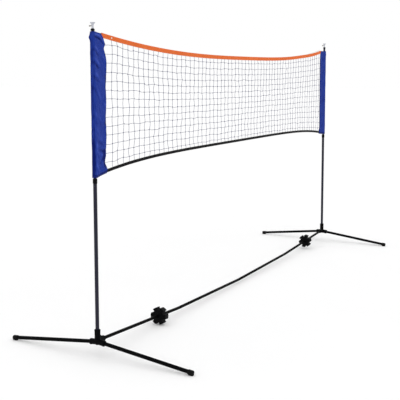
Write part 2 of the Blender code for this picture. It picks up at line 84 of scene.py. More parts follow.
SIDES = {"left": -1, "right": 1}
RNG = np.random.default_rng(7)
CLEAR = 0.0003              # between parts that fit each other
AXIS_R = 0.0001             # where a cutter's ends close, by its axis


# ---------------------------------------------------------------- meshes

def wander(x, y, z):
    """Smooth noise at a place, from about -1 to 1."""
    return noise.noise(Vector((x, y, z)))


def unit(vectors):
    return vectors / np.linalg.norm(vectors, axis=-1, keepdims=True)


class Shape:
    """Collects grids of points, and becomes one mesh with a UV map in metres."""

    def __init__(self):
        self.points = []
        self.faces = []
        self.uvs = []
        self.count = 0

    def grid(self, points, wrap=True, close=False, uv=None):
        """Adds rows of matching points. wrap joins each row's last point to its first. close joins the
        last row to the first, and without it the first and last rows of a wrapped grid are capped."""
        points = np.asarray(points, float)
        rows, cols = points.shape[:2]
        index = self.count + np.arange(rows * cols).reshape(rows, cols)
        if uv is None:
            uv = np.zeros((rows + 1, cols + 1, 2))
        if wrap:
            index = np.concatenate([index, index[:, :1]], axis=1)
        if close:
            index = np.concatenate([index, index[:1]], axis=0)
        corner = uv[:index.shape[0], :index.shape[1]]
        quads = np.stack([index[:-1, :-1], index[:-1, 1:], index[1:, 1:], index[1:, :-1]], axis=-1)
        shares = np.stack([corner[:-1, :-1], corner[:-1, 1:], corner[1:, 1:], corner[1:, :-1]], axis=2)
        self.faces += quads.reshape(-1, 4).tolist()
        self.uvs.append(shares.reshape(-1, 2))
        if wrap and not close:
            for row, turn in ((0, -1), (rows - 1, 1)):
                self.faces.append(index[row, :cols][::turn].tolist())
                self.uvs.append(corner[row, :cols][::turn])
        self.points.append(points.reshape(-1, 3))
        self.count += rows * cols
        return self

    def mesh(self, name, sharp=None, outward=False):
        """The mesh, smooth but for edges over the sharp angle, in degrees, and its faces turned outward."""
        made = bpy.data.meshes.new(name)
        made.from_pydata(np.concatenate(self.points).tolist(), [], self.faces)
        layer = made.uv_layers.new(name="UVMap")
        layer.data.foreach_set("uv", np.concatenate(self.uvs).astype(np.float32).ravel())
        soften(made, sharp)
        if outward:
            bm = bmesh.new()
            bm.from_mesh(made)
            bmesh.ops.recalc_face_normals(bm, faces=bm.faces)
            bm.to_mesh(made)
            bm.free()
        return made


def soften(mesh, sharp):
    mesh.shade_smooth()
    if sharp is not None:
        mesh.set_sharp_from_angle(angle=math.radians(sharp))


def turned(profile, sides):
    """Rings of points about local Z through a run of (radius, height) points."""
    angles = np.linspace(0, math.tau, sides, endpoint=False)
    rings = [[(r * math.cos(a), r * math.sin(a), z) for a in angles] for r, z in profile]
    return np.array(rings)


def rounded(profile, radius, steps=4):
    """The run of points with its inner corners rounded."""
    profile = [np.array(p, float) for p in profile]
    made = [profile[0]]
    for before, corner, after in zip(profile, profile[1:], profile[2:]):
        back = before - corner
        on = after - corner
        reach = min(radius, 0.45 * np.linalg.norm(back), 0.45 * np.linalg.norm(on))
        start = corner + back / np.linalg.norm(back) * reach
        end = corner + on / np.linalg.norm(on) * reach
        for i in range(steps + 1):
            t = i / steps
            made.append((1 - t) ** 2 * start + 2 * t * (1 - t) * corner + t ** 2 * end)
    made.append(profile[-1])
    return [tuple(p) for p in made]


def placed(points, matrix):
    matrix = np.array(matrix)
    return np.asarray(points) @ matrix[:3, :3].T + matrix[:3, 3]


def facing(direction, place=(0, 0, 0)):
    """Turns local +Z to a direction, and moves the origin to a place."""
    turn = Vector(direction).to_track_quat("Z", "Y").to_matrix().to_4x4()
    return Matrix.Translation(Vector(place)) @ turn


def lathed(name, outline, sides, matrix=None, close=False, sharp=None):
    """A closed mesh turned from a run of (radius, height) points, put in its place by a matrix."""
    rings = turned(outline, sides)
    if matrix is not None:
        rings = placed(rings, matrix)
    return Shape().grid(rings, close=close).mesh(name, sharp, outward=True)


def drilled(radius, low, high, sides, matrix=None):
    """A cutter for a round hole about local Z, or about the matrix's."""
    outline = [(AXIS_R, low), (radius, low), (radius, high), (AXIS_R, high)]
    return lathed("drill", outline, sides, matrix)


def block(corners, low, high):
    """Rings of a straight block over (x, y) corners, from one height to another."""
    return np.array([[(x, y, z) for x, y in corners] for z in (low, high)])


def oblong(x, y, half_x, half_y):
    return [(x + i * half_x, y + j * half_y) for i, j in ((-1, -1), (1, -1), (1, 1), (-1, 1))]


def along_path(path, radius, sides):
    """Rings of points round a path, with their UVs in metres."""
    path = np.asarray(path, float)
    tangent = unit(np.gradient(path, axis=0))
    side = unit(np.cross(tangent[0], (0, 1, 0) if abs(tangent[0][1]) < 0.9 else (1, 0, 0)))
    angles = np.linspace(0, math.tau, sides, endpoint=False)
    rings = np.zeros((len(path), sides, 3))
    for i, (at, ahead) in enumerate(zip(path, tangent)):
        side = unit(side - ahead * (side @ ahead))
        other = np.cross(ahead, side)
        rings[i] = at + radius * (np.outer(np.cos(angles), side) + np.outer(np.sin(angles), other))
    run = np.concatenate([[0], np.cumsum(np.linalg.norm(np.diff(path, axis=0), axis=1))])
    uv = np.zeros((len(path), sides + 1, 2))
    uv[..., 0] = np.linspace(0, math.tau * radius, sides + 1)[None, :]
    uv[..., 1] = run[:, None]
    return rings, uv


def piece(name, mesh, material, body, slot, *stands_for):
    """Adds a piece that moves with a body and stands for some of the parts."""
    item = bpy.data.objects.new(name, mesh)
    bpy.context.scene.collection.objects.link(item)
    mesh.materials.clear()
    mesh.materials.append(material)
    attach(item, body)
    if stands_for:
        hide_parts(*stands_for)
    return item


def evaluated(item):
    """The item's mesh with its modifiers applied. The item and its helpers are removed."""
    bpy.context.view_layer.update()
    made = bpy.data.meshes.new_from_object(item.evaluated_get(bpy.context.evaluated_depsgraph_get()))
    bpy.data.objects.remove(item, do_unlink=True)
    return made


def loose(mesh):
    item = bpy.data.objects.new("helper", mesh)
    bpy.context.scene.collection.objects.link(item)
    return item


def carved(mesh, cutters, sharp=40):
    """The mesh with the cutter meshes cut out of it, smooth but for edges over the sharp angle."""
    item = loose(mesh)
    helpers = [loose(cutter) for cutter in cutters]
    for helper in helpers:
        step = item.modifiers.new("cut", "BOOLEAN")
        step.operation = "DIFFERENCE"
        step.object = helper
    made = evaluated(item)
    for helper in helpers:
        bpy.data.objects.remove(helper, do_unlink=True)
    soften(made, sharp)
    return made


def moulded(shape, voxel, rounds):
    """One skin over overlapping closed shapes, with its inner corners run smooth."""
    item = loose(shape.mesh("moulded"))
    skin = item.modifiers.new("skin", "REMESH")
    skin.mode = "VOXEL"
    skin.voxel_size = voxel
    relax = item.modifiers.new("relax", "SMOOTH")
    relax.factor = 0.5
    relax.iterations = rounds
    return evaluated(item)


# ---------------------------------------------------------------- materials

class Paint:
    """Builds a Principled material's nodes."""

    def __init__(self, name, roughness, metallic=0.0, specular=0.5):
        self.material = bpy.data.materials.new(name)
        self.material.use_nodes = True
        self.nodes = self.material.node_tree.nodes
        self.links = self.material.node_tree.links
        self.shader = self.nodes["Principled BSDF"]
        self.shader.inputs["Roughness"].default_value = roughness
        self.shader.inputs["Metallic"].default_value = metallic
        self.shader.inputs["Specular IOR Level"].default_value = specular
        self.place = self.nodes.new("ShaderNodeTexCoord").outputs["Object"]
        self.normal = None

    def set(self, **values):
        for name, value in values.items():
            self.shader.inputs[name.replace("_", " ")].default_value = value
        return self

    def into(self, socket, value):
        if hasattr(value, "is_output"):
            self.links.new(value, socket)
        else:
            socket.default_value = value

    def uv(self):
        node = self.nodes.new("ShaderNodeUVMap")
        node.uv_map = "UVMap"
        return node.outputs["UV"]

    def point(self, name):
        node = self.nodes.new("ShaderNodeAttribute")
        node.attribute_name = name
        return node.outputs["Fac"]

    def scaled(self, vector, scale):
        node = self.nodes.new("ShaderNodeMapping")
        self.links.new(vector, node.inputs["Vector"])
        node.inputs["Scale"].default_value = scale
        return node.outputs["Vector"]

    def split(self, vector):
        node = self.nodes.new("ShaderNodeSeparateXYZ")
        self.links.new(vector, node.inputs[0])
        return node.outputs

    def noise(self, scale, detail=2.0, vector=None, rough=0.5):
        node = self.nodes.new("ShaderNodeTexNoise")
        self.links.new(vector or self.place, node.inputs["Vector"])
        node.inputs["Scale"].default_value = scale
        node.inputs["Detail"].default_value = detail
        node.inputs["Roughness"].default_value = rough
        return node.outputs["Fac"]

    def cells(self, scale, vector=None):
        node = self.nodes.new("ShaderNodeTexVoronoi")
        self.links.new(vector or self.place, node.inputs["Vector"])
        node.inputs["Scale"].default_value = scale
        return node.outputs["Distance"]

    def sum(self, operation, first, second=None, third=None):
        node = self.nodes.new("ShaderNodeMath")
        node.operation = operation
        for socket, value in zip(node.inputs, (first, second, third)):
            if value is not None:
                self.into(socket, value)
        return node.outputs[0]

    def between(self, value, low, high, to_low=0.0, to_high=1.0):
        node = self.nodes.new("ShaderNodeMapRange")
        node.interpolation_type = "SMOOTHSTEP"
        self.links.new(value, node.inputs["Value"])
        for name, number in (("From Min", low), ("From Max", high), ("To Min", to_low), ("To Max", to_high)):
            node.inputs[name].default_value = number
        return node.outputs["Result"]

    def blend(self, share, first, second):
        node = self.nodes.new("ShaderNodeMix")
        node.data_type = "RGBA"
        self.links.new(share, node.inputs["Factor"])
        self.into(node.inputs["A"], first if hasattr(first, "is_output") else (*first, 1.0))
        self.into(node.inputs["B"], second if hasattr(second, "is_output") else (*second, 1.0))
        return node.outputs["Result"]

    def colour(self, value):
        self.into(self.shader.inputs["Base Color"], value)
        return self

    def rough(self, value):
        self.into(self.shader.inputs["Roughness"], value)
        return self

    def bump(self, height, distance, strength=1.0):
        node = self.nodes.new("ShaderNodeBump")
        node.inputs["Distance"].default_value = distance
        node.inputs["Strength"].default_value = strength
        self.links.new(height, node.inputs["Height"])
        if self.normal is not None:
            self.links.new(self.normal, node.inputs["Normal"])
        self.normal = node.outputs["Normal"]
        self.links.new(self.normal, self.shader.inputs["Normal"])
        return self


def uneven(paint, cloud, roughness, down, up):
    """The roughness, a little less and a little more with a cloudy pattern."""
    return paint.between(cloud, 0.3, 0.7, roughness - down, roughness + up)


def powder_coat(name, deep, light, roughness, specular):
    """Baked enamel on steel tube: a little orange peel and faint scuffs."""
    paint = Paint(name, roughness, specular=specular)
    cloud = paint.noise(14.0, 4.0)
    scuff = paint.between(paint.noise(70.0, 6.0, rough=0.7), 0.60, 0.72)
    tint = paint.blend(cloud, deep, light)
    scuff_and_painted_light = tuple(part * 2.2 + 0.004 for part in light)
    paint.colour(paint.blend(paint.sum("MULTIPLY", scuff, 0.5), tint, scuff_and_painted_light))
    paint.rough(paint.sum("MULTIPLY_ADD", scuff, 0.16, uneven(paint, cloud, roughness, 0.04, 0.06)))
    paint.bump(paint.noise(620.0, 1.0), 0.00006)
    paint.bump(paint.noise(2400.0, 1.0), 0.00002)
    return paint.material


def moulded_plastic(name, deep, light, roughness, specular):
    """Injection-moulded plastic with a spark-eroded grain and handling marks."""
    paint = Paint(name, roughness, specular=specular)
    cloud = paint.noise(32.0, 3.0)
    mark = paint.between(paint.noise(150.0, 5.0, rough=0.75), 0.62, 0.72)
    pale = tuple(min(1.0, part * 1.9 + 0.004) for part in light)
    paint.colour(paint.blend(paint.sum("MULTIPLY", mark, 0.45), paint.blend(cloud, deep, light), pale))
    paint.rough(paint.sum("MULTIPLY_ADD", mark, 0.18, uneven(paint, cloud, roughness, 0.05, 0.07)))
    paint.bump(paint.cells(1500.0), 0.00004)
    paint.bump(paint.noise(260.0, 2.0), 0.00005)
    return paint.material


def rubber(name, deep, light):
    """Soft black rubber, dusty in patches."""
    paint = Paint(name, 0.7, specular=0.10)
    cloud = paint.noise(45.0, 4.0)
    dust = paint.between(paint.noise(320.0, 5.0, rough=0.8), 0.48, 0.68)
    dusty = (0.020, 0.019, 0.018)
    paint.colour(paint.blend(paint.sum("MULTIPLY", dust, 0.4), paint.blend(cloud, deep, light), dusty))
    paint.rough(uneven(paint, cloud, 0.7, 0.08, 0.12))
    paint.bump(paint.noise(900.0, 4.0), 0.00010)
    return paint.material


def metal(name, deep, light, roughness):
    """Plated or zinc-bright metal with fine turning marks."""
    paint = Paint(name, roughness, metallic=1.0)
    cloud = paint.noise(120.0, 4.0)
    paint.colour(paint.blend(cloud, deep, light))
    paint.rough(uneven(paint, paint.noise(700.0, 4.0), roughness, 0.08, 0.14))
    paint.bump(paint.noise(1900.0, 3.0, paint.scaled(paint.place, (1.0, 1.0, 6.0))), 0.00002)
    return paint.material


def woven(name, deep, light, pitch, roughness, relief, tint=(1.0, 1.0, 1.0), fade=None, folds=None):
    """Plain-woven cloth: warp and weft cross over and under at the given pitch, with a sheen of the tint
    and a faded colour in places. Where the mesh has a fold attribute, it blends in the folds' two colours:
    the first deep, for painted shade in a crease and for darker edges, the second pale, for a painted
    highlight along a ridge."""
    paint = Paint(name, roughness, specular=0.05)
    paint.set(Sheen_Weight=0.03, Sheen_Roughness=0.45, Sheen_Tint=(*tint, 1.0))
    across, along, _ = paint.split(paint.scaled(paint.uv(), (1 / pitch, 1 / pitch, 1.0)))
    warp = paint.sum("ABSOLUTE", paint.sum("SINE", paint.sum("MULTIPLY", across, math.pi)))
    weft = paint.sum("ABSOLUTE", paint.sum("SINE", paint.sum("MULTIPLY", along, math.pi)))
    square = paint.sum("ADD", paint.sum("FLOOR", across), paint.sum("FLOOR", along))
    over = paint.sum("PINGPONG", square, 1.0)
    under = paint.sum("SUBTRACT", 1.0, over)
    crown = paint.sum("ADD", paint.sum("MULTIPLY", over, warp), paint.sum("MULTIPLY", under, weft))
    slub = paint.noise(1.0, 3.0, paint.scaled(paint.uv(), (60.0, 900.0, 1.0)))
    height = paint.sum("MULTIPLY_ADD", slub, 0.35, crown)
    cloud = paint.noise(9.0, 5.0, rough=0.6)
    # Colour follows the weave's height: painted shade where the threads dip under each other, paler crowns
    body = paint.blend(paint.between(height, 0.15, 1.25), deep, light)
    dye_and_painted_light = paint.blend(paint.between(cloud, 0.42, 0.75, 0.0, 0.5), body, fade or light)
    if folds:
        # Painted light from the fold attribute: shade painted into creases, a highlight painted along ridges
        scuff_and_painted_light = paint.point("fold")
        dye_and_painted_light = paint.blend(paint.between(scuff_and_painted_light, 0.04, 1.0), dye_and_painted_light, folds[0])
        dye_and_painted_light = paint.blend(paint.between(scuff_and_painted_light, -0.04, -1.0), dye_and_painted_light, folds[1])
    paint.colour(dye_and_painted_light)
    paint.rough(uneven(paint, slub, roughness, 0.06, 0.08))
    paint.bump(height, relief)
    paint.bump(paint.noise(180.0, 3.0), 0.00022)
    return paint.material


def twisted(name, deep, light, pitch, roughness, relief=0.00022):
    """Laid twine or sewing thread: three strands wind round it at the given pitch."""
    paint = Paint(name, roughness, specular=0.3)
    paint.set(Sheen_Weight=0.15, Sheen_Roughness=0.5)
    round_it, run, _ = paint.split(paint.uv())
    winding = paint.sum("MULTIPLY", round_it, math.tau * 3.0 / pitch)
    lay = paint.sum("MULTIPLY_ADD", run, math.tau / pitch, winding)
    ridge = paint.sum("ABSOLUTE", paint.sum("SINE", lay))
    fuzz = paint.noise(2600.0, 3.0)
    height = paint.sum("MULTIPLY_ADD", fuzz, 0.3, ridge)
    shade = paint.sum("MULTIPLY_ADD", paint.noise(22.0, 3.0), 0.6, paint.sum("MULTIPLY", height, 0.5))
    paint.colour(paint.blend(paint.between(shade, 0.2, 0.95), deep, light))
    paint.rough(uneven(paint, fuzz, roughness, 0.08, 0.10))
    paint.bump(height, relief)
    return paint.material


def floor_paint():
    """A pale, slightly uneven studio floor."""
    paint = Paint("studio_floor", 0.85, specular=0.05)
    paint.colour(paint.blend(paint.noise(1.3, 4.0), (0.93, 0.93, 0.93), (0.96, 0.96, 0.96)))
    paint.bump(paint.noise(60.0, 3.0), 0.0002)
    return paint.material


# The posts' enamel is the legs' black enamel painted lighter and bluer: painted light with a blue cast
POST_COAT_PAINTED_LIGHT = powder_coat("post_enamel_painted_light", (0.0050, 0.0055, 0.0150), (0.0085, 0.0090, 0.0250), 0.34, 0.26)
LEG_COAT = powder_coat("leg_enamel", (0.0012, 0.0012, 0.0013), (0.0024, 0.0024, 0.0026), 0.50, 0.03)
HUB_PLASTIC = moulded_plastic("hub_plastic", (0.0012, 0.0012, 0.0014), (0.0026, 0.0026, 0.0030), 0.46, 0.035)
STAR_PLASTIC = moulded_plastic("star_plastic", (0.0014, 0.0014, 0.0017), (0.0030, 0.0030, 0.0036), 0.50, 0.05)
CAP_PLASTIC = moulded_plastic("cap_plastic", (0.0018, 0.0018, 0.0024), (0.0036, 0.0036, 0.0044), 0.44, 0.06)
FOOT_RUBBER = rubber("foot_rubber", (0.0016, 0.0016, 0.0016), (0.0036, 0.0036, 0.0036))
GREY_PLASTIC = moulded_plastic("grey_plastic", (0.40, 0.41, 0.46), (0.56, 0.58, 0.63), 0.40, 0.5)
PIN_METAL = metal("pin_metal", (0.17, 0.155, 0.13), (0.30, 0.28, 0.24), 0.42)
LOCK_PLASTIC = moulded_plastic("lock_plastic", (0.08, 0.08, 0.09), (0.13, 0.13, 0.14), 0.5, 0.4)
EYELET_METAL = metal("eyelet_metal", (0.62, 0.60, 0.56), (0.86, 0.84, 0.80), 0.28)
BLUE_CLOTH = woven(
    "blue_cloth", (0.0062, 0.0205, 0.168), (0.0165, 0.0445, 0.320), 0.0008, 0.62, 0.00016,
    tint=(0.45, 0.55, 1.0), fade=(0.0240, 0.0500, 0.290),
    # The folds' colours: painted shade for creases and darker edges, painted highlight for ridges
    folds=((0.0016, 0.0085, 0.120), (0.0400, 0.0760, 0.400)),
)
ORANGE_TAPE = woven(
    "orange_tape", (0.54, 0.095, 0.018), (0.80, 0.165, 0.038), 0.0009, 0.62, 0.00018,
    tint=(1.0, 0.8, 0.6), fade=(0.82, 0.20, 0.055),
)
BLACK_TAPE = woven("black_tape", (0.0022, 0.0022, 0.0026), (0.0055, 0.0055, 0.0062), 0.0009, 0.66, 0.00018)
TWINE = twisted("net_twine", (0.0080, 0.0120, 0.0560), (0.0280, 0.0380, 0.1500), 0.0055, 0.66)
BLUE_THREAD = twisted("blue_thread", (0.010, 0.022, 0.12), (0.030, 0.055, 0.30), 0.0014, 0.5, 0.00006)
ORANGE_THREAD = twisted("orange_thread", (0.70, 0.20, 0.06), (0.95, 0.36, 0.14), 0.0014, 0.5, 0.00006)
BLACK_THREAD = twisted("black_thread", (0.010, 0.010, 0.011), (0.028, 0.028, 0.030), 0.0014, 0.5, 0.00006)
WHITE_CORD = twisted("white_cord", (0.52, 0.51, 0.47), (0.80, 0.79, 0.74), 0.0040, 0.7)


# ---------------------------------------------------------------- places read from the parts

def axis_of(node):
    """The two ends of a straight part's axis, lowest X, Y and Z first, and its radius."""
    points = np.array([v.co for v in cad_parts[node].data.vertices])
    low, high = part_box(node)
    centre = (np.array(low) + np.array(high)) / 2
    way = np.linalg.svd(points - centre, full_matrices=False)[2][0]
    way *= np.sign(way[np.argmax(np.abs(way))])
    run = (points - centre) @ way
    radius = np.linalg.norm(points - centre - np.outer(run, way), axis=1).max()
    return Vector(centre + way * run.min()), Vector(centre + way * run.max()), float(radius)


def centre_of(node):
    low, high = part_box(node)
    return (low + high) / 2


def top_band_z(x):
    """Height of the top tape's middle. It runs on past the net's left end and levels off at the right."""
    x = np.asarray(x)
    share = np.where(x < 0, np.abs(x), np.minimum(np.abs(x), NET_END_X)) / NET_END_X
    late = np.clip((x - RIGHT_DROP_FROM) / (NET_END_X - RIGHT_DROP_FROM), 0, 1)
    power = np.where(x < 0, TOP_BAND_LEFT_POWER, TOP_BAND_RIGHT_POWER)
    return TOP_BAND_END_Z - TOP_BAND_SAG * (1 - share ** power) - RIGHT_DROP * late ** 2 * (3 - 2 * late)


def bottom_band_z(x):
    share = np.minimum(np.abs(x) / NET_END_X, 1.0)
    return BOTTOM_BAND_END_Z + BOTTOM_BAND_RISE * (1 - share ** BOTTOM_BAND_POWER)


# ---------------------------------------------------------------- tubes

TUBE_WALL = 0.001
RIM_ROUND = 0.0005


def tube(name, node, coat, body):
    """A steel tube with rolled-over rims, for a straight part."""
    start, end, radius = axis_of(node)
    length = (end - start).length
    inner = radius - TUBE_WALL
    outline = rounded([
        (inner, length / 2), (inner, 0), (radius, 0), (radius, length / 2), (radius, length), (inner, length),
        (inner, length / 2),
    ], RIM_ROUND, 3)[:-1]
    mesh = lathed(name, outline, 56, facing(end - start, start), close=True, sharp=50)
    piece(name, mesh, coat, body, "black_paint", node)


def build_tubes():
    for side in SIDES:
        tube(f"{side}_lower_tube", f"{side}_lower_post", POST_COAT_PAINTED_LIGHT, "frame")
        tube(f"{side}_upper_tube", f"{side}_upper_post", POST_COAT_PAINTED_LIGHT, f"{side}_post")
        for end in ("front", "rear"):
            tube(f"{side}_{end}_leg_tube", f"{side}_{end}_leg", LEG_COAT, "frame")
    for number in range(1, 5):
        tube(f"crossbar_{number}", f"crossbar_tube_{number}", LEG_COAT, "frame")


# ---------------------------------------------------------------- hubs and feet

SOCKET_WALL = 0.0048
SOCKET_LIP = 0.0007
SOCKET_ROUND = 0.0028
LEG_SOCKET_REACH = 0.041
BAR_SOCKET_REACH = 0.050
SOCKET_HEEL = 0.010
POST_SOCKET_TOP = 0.130
TUBE_STOP = 0.0197          # how far from the hub's centre a tube stops
COUNTERSINK = 0.0014
GUSSET_FOOT = 0.004
GUSSET_SWEEP = 0.030        # radius of the web's curve
GUSSET_X = 0.0125           # where the curve starts, from the hub's centre
GUSSET_Z = 0.0120
GUSSET_HALF = 0.0036


def hub_centre(side):
    """Where the leg's axis meets the post's axis."""
    start, end, _ = axis_of(f"{side}_rear_leg")
    share = start.y / (start.y - end.y)
    return start.lerp(end, share)


def socket_rings(radius, reach, way, centre):
    """A socket with a rolled lip at its mouth."""
    outside = radius + SOCKET_WALL
    lip = outside + SOCKET_LIP
    outline = rounded([
        (0, -SOCKET_HEEL), (outside, -SOCKET_HEEL), (outside, reach - 0.0100), (lip, reach - 0.0085),
        (lip, reach), (0, reach),
    ], SOCKET_ROUND)
    return placed(turned(outline, 64), facing(way, centre))


def bore_mesh(radius, reach, way, centre):
    """A cutter for a socket's bore, with a countersunk mouth."""
    bore = radius + CLEAR
    mouth = bore + COUNTERSINK
    past = reach + 0.01
    outline = [
        (AXIS_R, TUBE_STOP), (bore, TUBE_STOP), (bore, reach - COUNTERSINK), (mouth, reach), (mouth, past),
        (AXIS_R, past),
    ]
    return lathed("bore", outline, 64, facing(way, centre))


def gusset_rings(centre, lift):
    """The curved web between the post socket and the crossbar socket, as rings across its thickness."""
    outline = [(GUSSET_FOOT, GUSSET_FOOT)]
    for turn in np.linspace(0, math.pi / 2, 11):
        x = GUSSET_X + GUSSET_SWEEP * (1 - math.cos(turn))
        outline.append((x, GUSSET_Z + lift + GUSSET_SWEEP * (1 - math.sin(turn))))
    outline.append((GUSSET_X + GUSSET_SWEEP, GUSSET_FOOT))
    faces = (centre.y - GUSSET_HALF, centre.y + GUSSET_HALF)
    return np.array([[(centre.x + x, y, centre.z + z) for x, z in outline] for y in faces])


def hub_mesh():
    """The left hub, where it stands."""
    centre = hub_centre("left")
    arms = []
    for node, reach in (
        ("left_lower_post", POST_SOCKET_TOP - centre.z), ("left_rear_leg", LEG_SOCKET_REACH),
        ("left_front_leg", LEG_SOCKET_REACH), ("crossbar_tube_1", BAR_SOCKET_REACH),
    ):
        start, end, radius = axis_of(node)
        way = (end - start).normalized()
        if (start + end) @ way < 2 * centre @ way:
            way = -way
        root = centre if node != "crossbar_tube_1" else start + way * (centre.x - start.x) / way.x
        arms.append((radius, reach, way, root))
    shape = Shape()
    for arm in arms:
        shape.grid(socket_rings(*arm))
    shape.grid(gusset_rings(centre, arms[-1][3].z - centre.z))
    ball = rounded([(0.0, -0.0158), (0.0112, -0.0148), (0.0156, 0.0), (0.0112, 0.0112), (0.0, 0.0158)], 0.006)
    shape.grid(placed(turned(ball, 48), Matrix.Translation(centre)))
    return carved(moulded(shape, voxel=0.0008, rounds=9), [bore_mesh(*arm) for arm in arms])


def build_hubs():
    left = hub_mesh()
    right = left.copy()
    right.transform(Matrix.Rotation(math.pi, 4, "Z"))
    for side, mesh in (("left", left), ("right", right)):
        piece(f"{side}_moulded_hub", mesh, HUB_PLASTIC, "frame", "gloss_black", f"{side}_hub")


FOOT_R = 0.0115
FOOT_LENGTH = 0.027
FOOT_PAST = 0.005           # how far the cap goes past the tube's end
FOOT_GROOVE = 0.0007
SOLE_HALF = 0.0070
GROUND_HALF = 0.06          # half the width of the cutter that takes off all below the ground
TREADS = 4
TREAD_PITCH = 0.0050
TREAD_HALF = 0.0006
TREAD_DEPTH = 0.0009


def foot_outline():
    """The foot cap's own turned outline, with four grooves round it, about the leg's axis."""
    low = FOOT_PAST - FOOT_LENGTH
    sunk = FOOT_R - FOOT_GROOVE
    outline = [(0, low), (FOOT_R - 0.0006, low), (FOOT_R, low + 0.0008)]
    for i in range(4):
        z = low + 0.0046 + 0.0036 * i
        outline += [(FOOT_R, z - 0.0010), (sunk, z - 0.0005), (sunk, z + 0.0005), (FOOT_R, z + 0.0010)]
    outline += [(FOOT_R, FOOT_PAST - 0.0040), (FOOT_R - 0.0012, FOOT_PAST - 0.0014)]
    outline += [(FOOT_R - 0.0040, FOOT_PAST), (0, FOOT_PAST)]
    return rounded(outline, 0.0004, 2)


def foot_mesh():
    """The left rear foot cap, where it stands: a ribbed cap with a flat, grooved sole."""
    start, end, radius = axis_of("left_rear_leg")
    leg = facing((end - start).normalized(), end)
    shape = Shape().grid(placed(turned(foot_outline(), 56), leg))
    rings = []
    for y, drawn_in in ((-0.0185, 0.0015), (-0.0175, 0.0), (0.0030, 0.0), (0.0042, 0.0018)):
        half = SOLE_HALF - drawn_in
        corners = [(-half, -0.001), (half, -0.001), (half + 0.0012, end.z), (-half - 0.0012, end.z)]
        rings.append([(end.x + x, end.y + y, z) for x, z in corners])
    shape.grid(np.array(rings))
    skin = moulded(shape, voxel=0.00055, rounds=3)
    below = block(oblong(end.x, end.y, GROUND_HALF, GROUND_HALF), -0.03, 0.0)
    cutters = [Shape().grid(below).mesh("ground", outward=True)]
    cutters.append(drilled(radius + CLEAR, -0.06, CLEAR, 56, leg))
    for i in range(TREADS):
        y = end.y - 0.0150 + TREAD_PITCH * i
        tread = block(oblong(end.x, y, 0.02, TREAD_HALF), -0.02, TREAD_DEPTH)
        cutters.append(Shape().grid(tread).mesh("tread", outward=True))
    return carved(skin, cutters)


def build_feet():
    rear = foot_mesh()
    post = Matrix.Translation((-POST_X, 0, 0))
    front_turn = post @ Matrix.Rotation(math.pi, 4, "Z") @ post.inverted()
    for side, sign in SIDES.items():
        across = Matrix.Translation((POST_X + sign * POST_X, 0, 0))
        for end in ("front", "rear"):
            mesh = rear.copy()
            if end == "front":
                mesh.transform(front_turn)
            mesh.transform(across)
            piece(f"{side}_{end}_foot_cap", mesh, FOOT_RUBBER, "frame", "matte_black", f"{side}_{end}_foot")


# ---------------------------------------------------------------- collars and top fittings

COLLAR_SIDES = 144
COLLAR_RIBS = 24
RIB_HEIGHT = 0.0005
RIB_BAND_HALF = 0.0064
CLEAT_LIFT = 0.0002         # the cleat's foot above the cap
CLEAT_HOLE_R = 0.0028
PIN_SHANK_R = 0.0025


def upright(node):
    """Moves the origin to a part's upright axis, and leaves heights as they are."""
    centre = centre_of(node)
    return Matrix.Translation((centre.x, centre.y, 0))


def collar_mesh(side):
    """The guide collar on the lower tube's mouth, with grip ribs round it."""
    low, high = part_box(f"{side}_post_collar")
    _, lower_top, lower_r = axis_of(f"{side}_lower_post")
    bore = lower_r + CLEAR
    guide = axis_of(f"{side}_upper_post")[2] + CLEAR
    step = lower_top.z + CLEAR
    start = (low.z + lower_top.z) / 2
    outside = (high.x - low.x) / 2
    sunk = outside - RIB_HEIGHT
    outline = rounded([
        (bore, start), (bore, low.z), (outside, low.z), (outside, low.z + 0.0040), (sunk, low.z + 0.0048),
        (sunk, high.z - 0.0048), (outside, high.z - 0.0040), (outside, high.z), (guide, high.z),
        (guide, step), (bore, step), (bore, start),
    ], 0.0005, 3)[:-1]
    rings = turned(outline, COLLAR_SIDES)
    angles = np.linspace(0, math.tau, COLLAR_SIDES, endpoint=False)
    ribs = RIB_HEIGHT * np.clip(np.cos(angles * COLLAR_RIBS) * 1.6, 0, 1)
    middle = (low.z + high.z) / 2
    for ring in rings:
        radius = np.linalg.norm(ring[:, :2], axis=1)
        ribbed = (radius > sunk - 0.0002) & (np.abs(ring[:, 2] - middle) < RIB_BAND_HALF)
        ring[:, :2] *= np.where(ribbed, (radius + ribs) / radius, 1.0)[:, None]
    rings = placed(rings, upright(f"{side}_post_collar"))
    return Shape().grid(rings, close=True).mesh("collar", sharp=40, outward=True)


def cap_mesh(side):
    """The plug in the upper tube's mouth and its stepped, domed head."""
    low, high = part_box(f"{side}_top_cap")
    _, post_top, post_r = axis_of(f"{side}_upper_post")
    rim_z = post_top.z + CLEAR
    radius = (high.x - low.x) / 2
    waist = radius - 0.0004
    inside = post_r - TUBE_WALL - CLEAR
    outline = rounded([
        (0, low.z), (inside, low.z), (inside, rim_z), (radius, rim_z), (radius, rim_z + 0.0018),
        (waist, rim_z + 0.0022), (waist, high.z - 0.0040), (radius - 0.0030, high.z - 0.0008),
        (0.0064, high.z), (0, high.z),
    ], 0.0009, 5)
    return lathed("cap", outline, 56, upright(f"{side}_top_cap"), sharp=40)


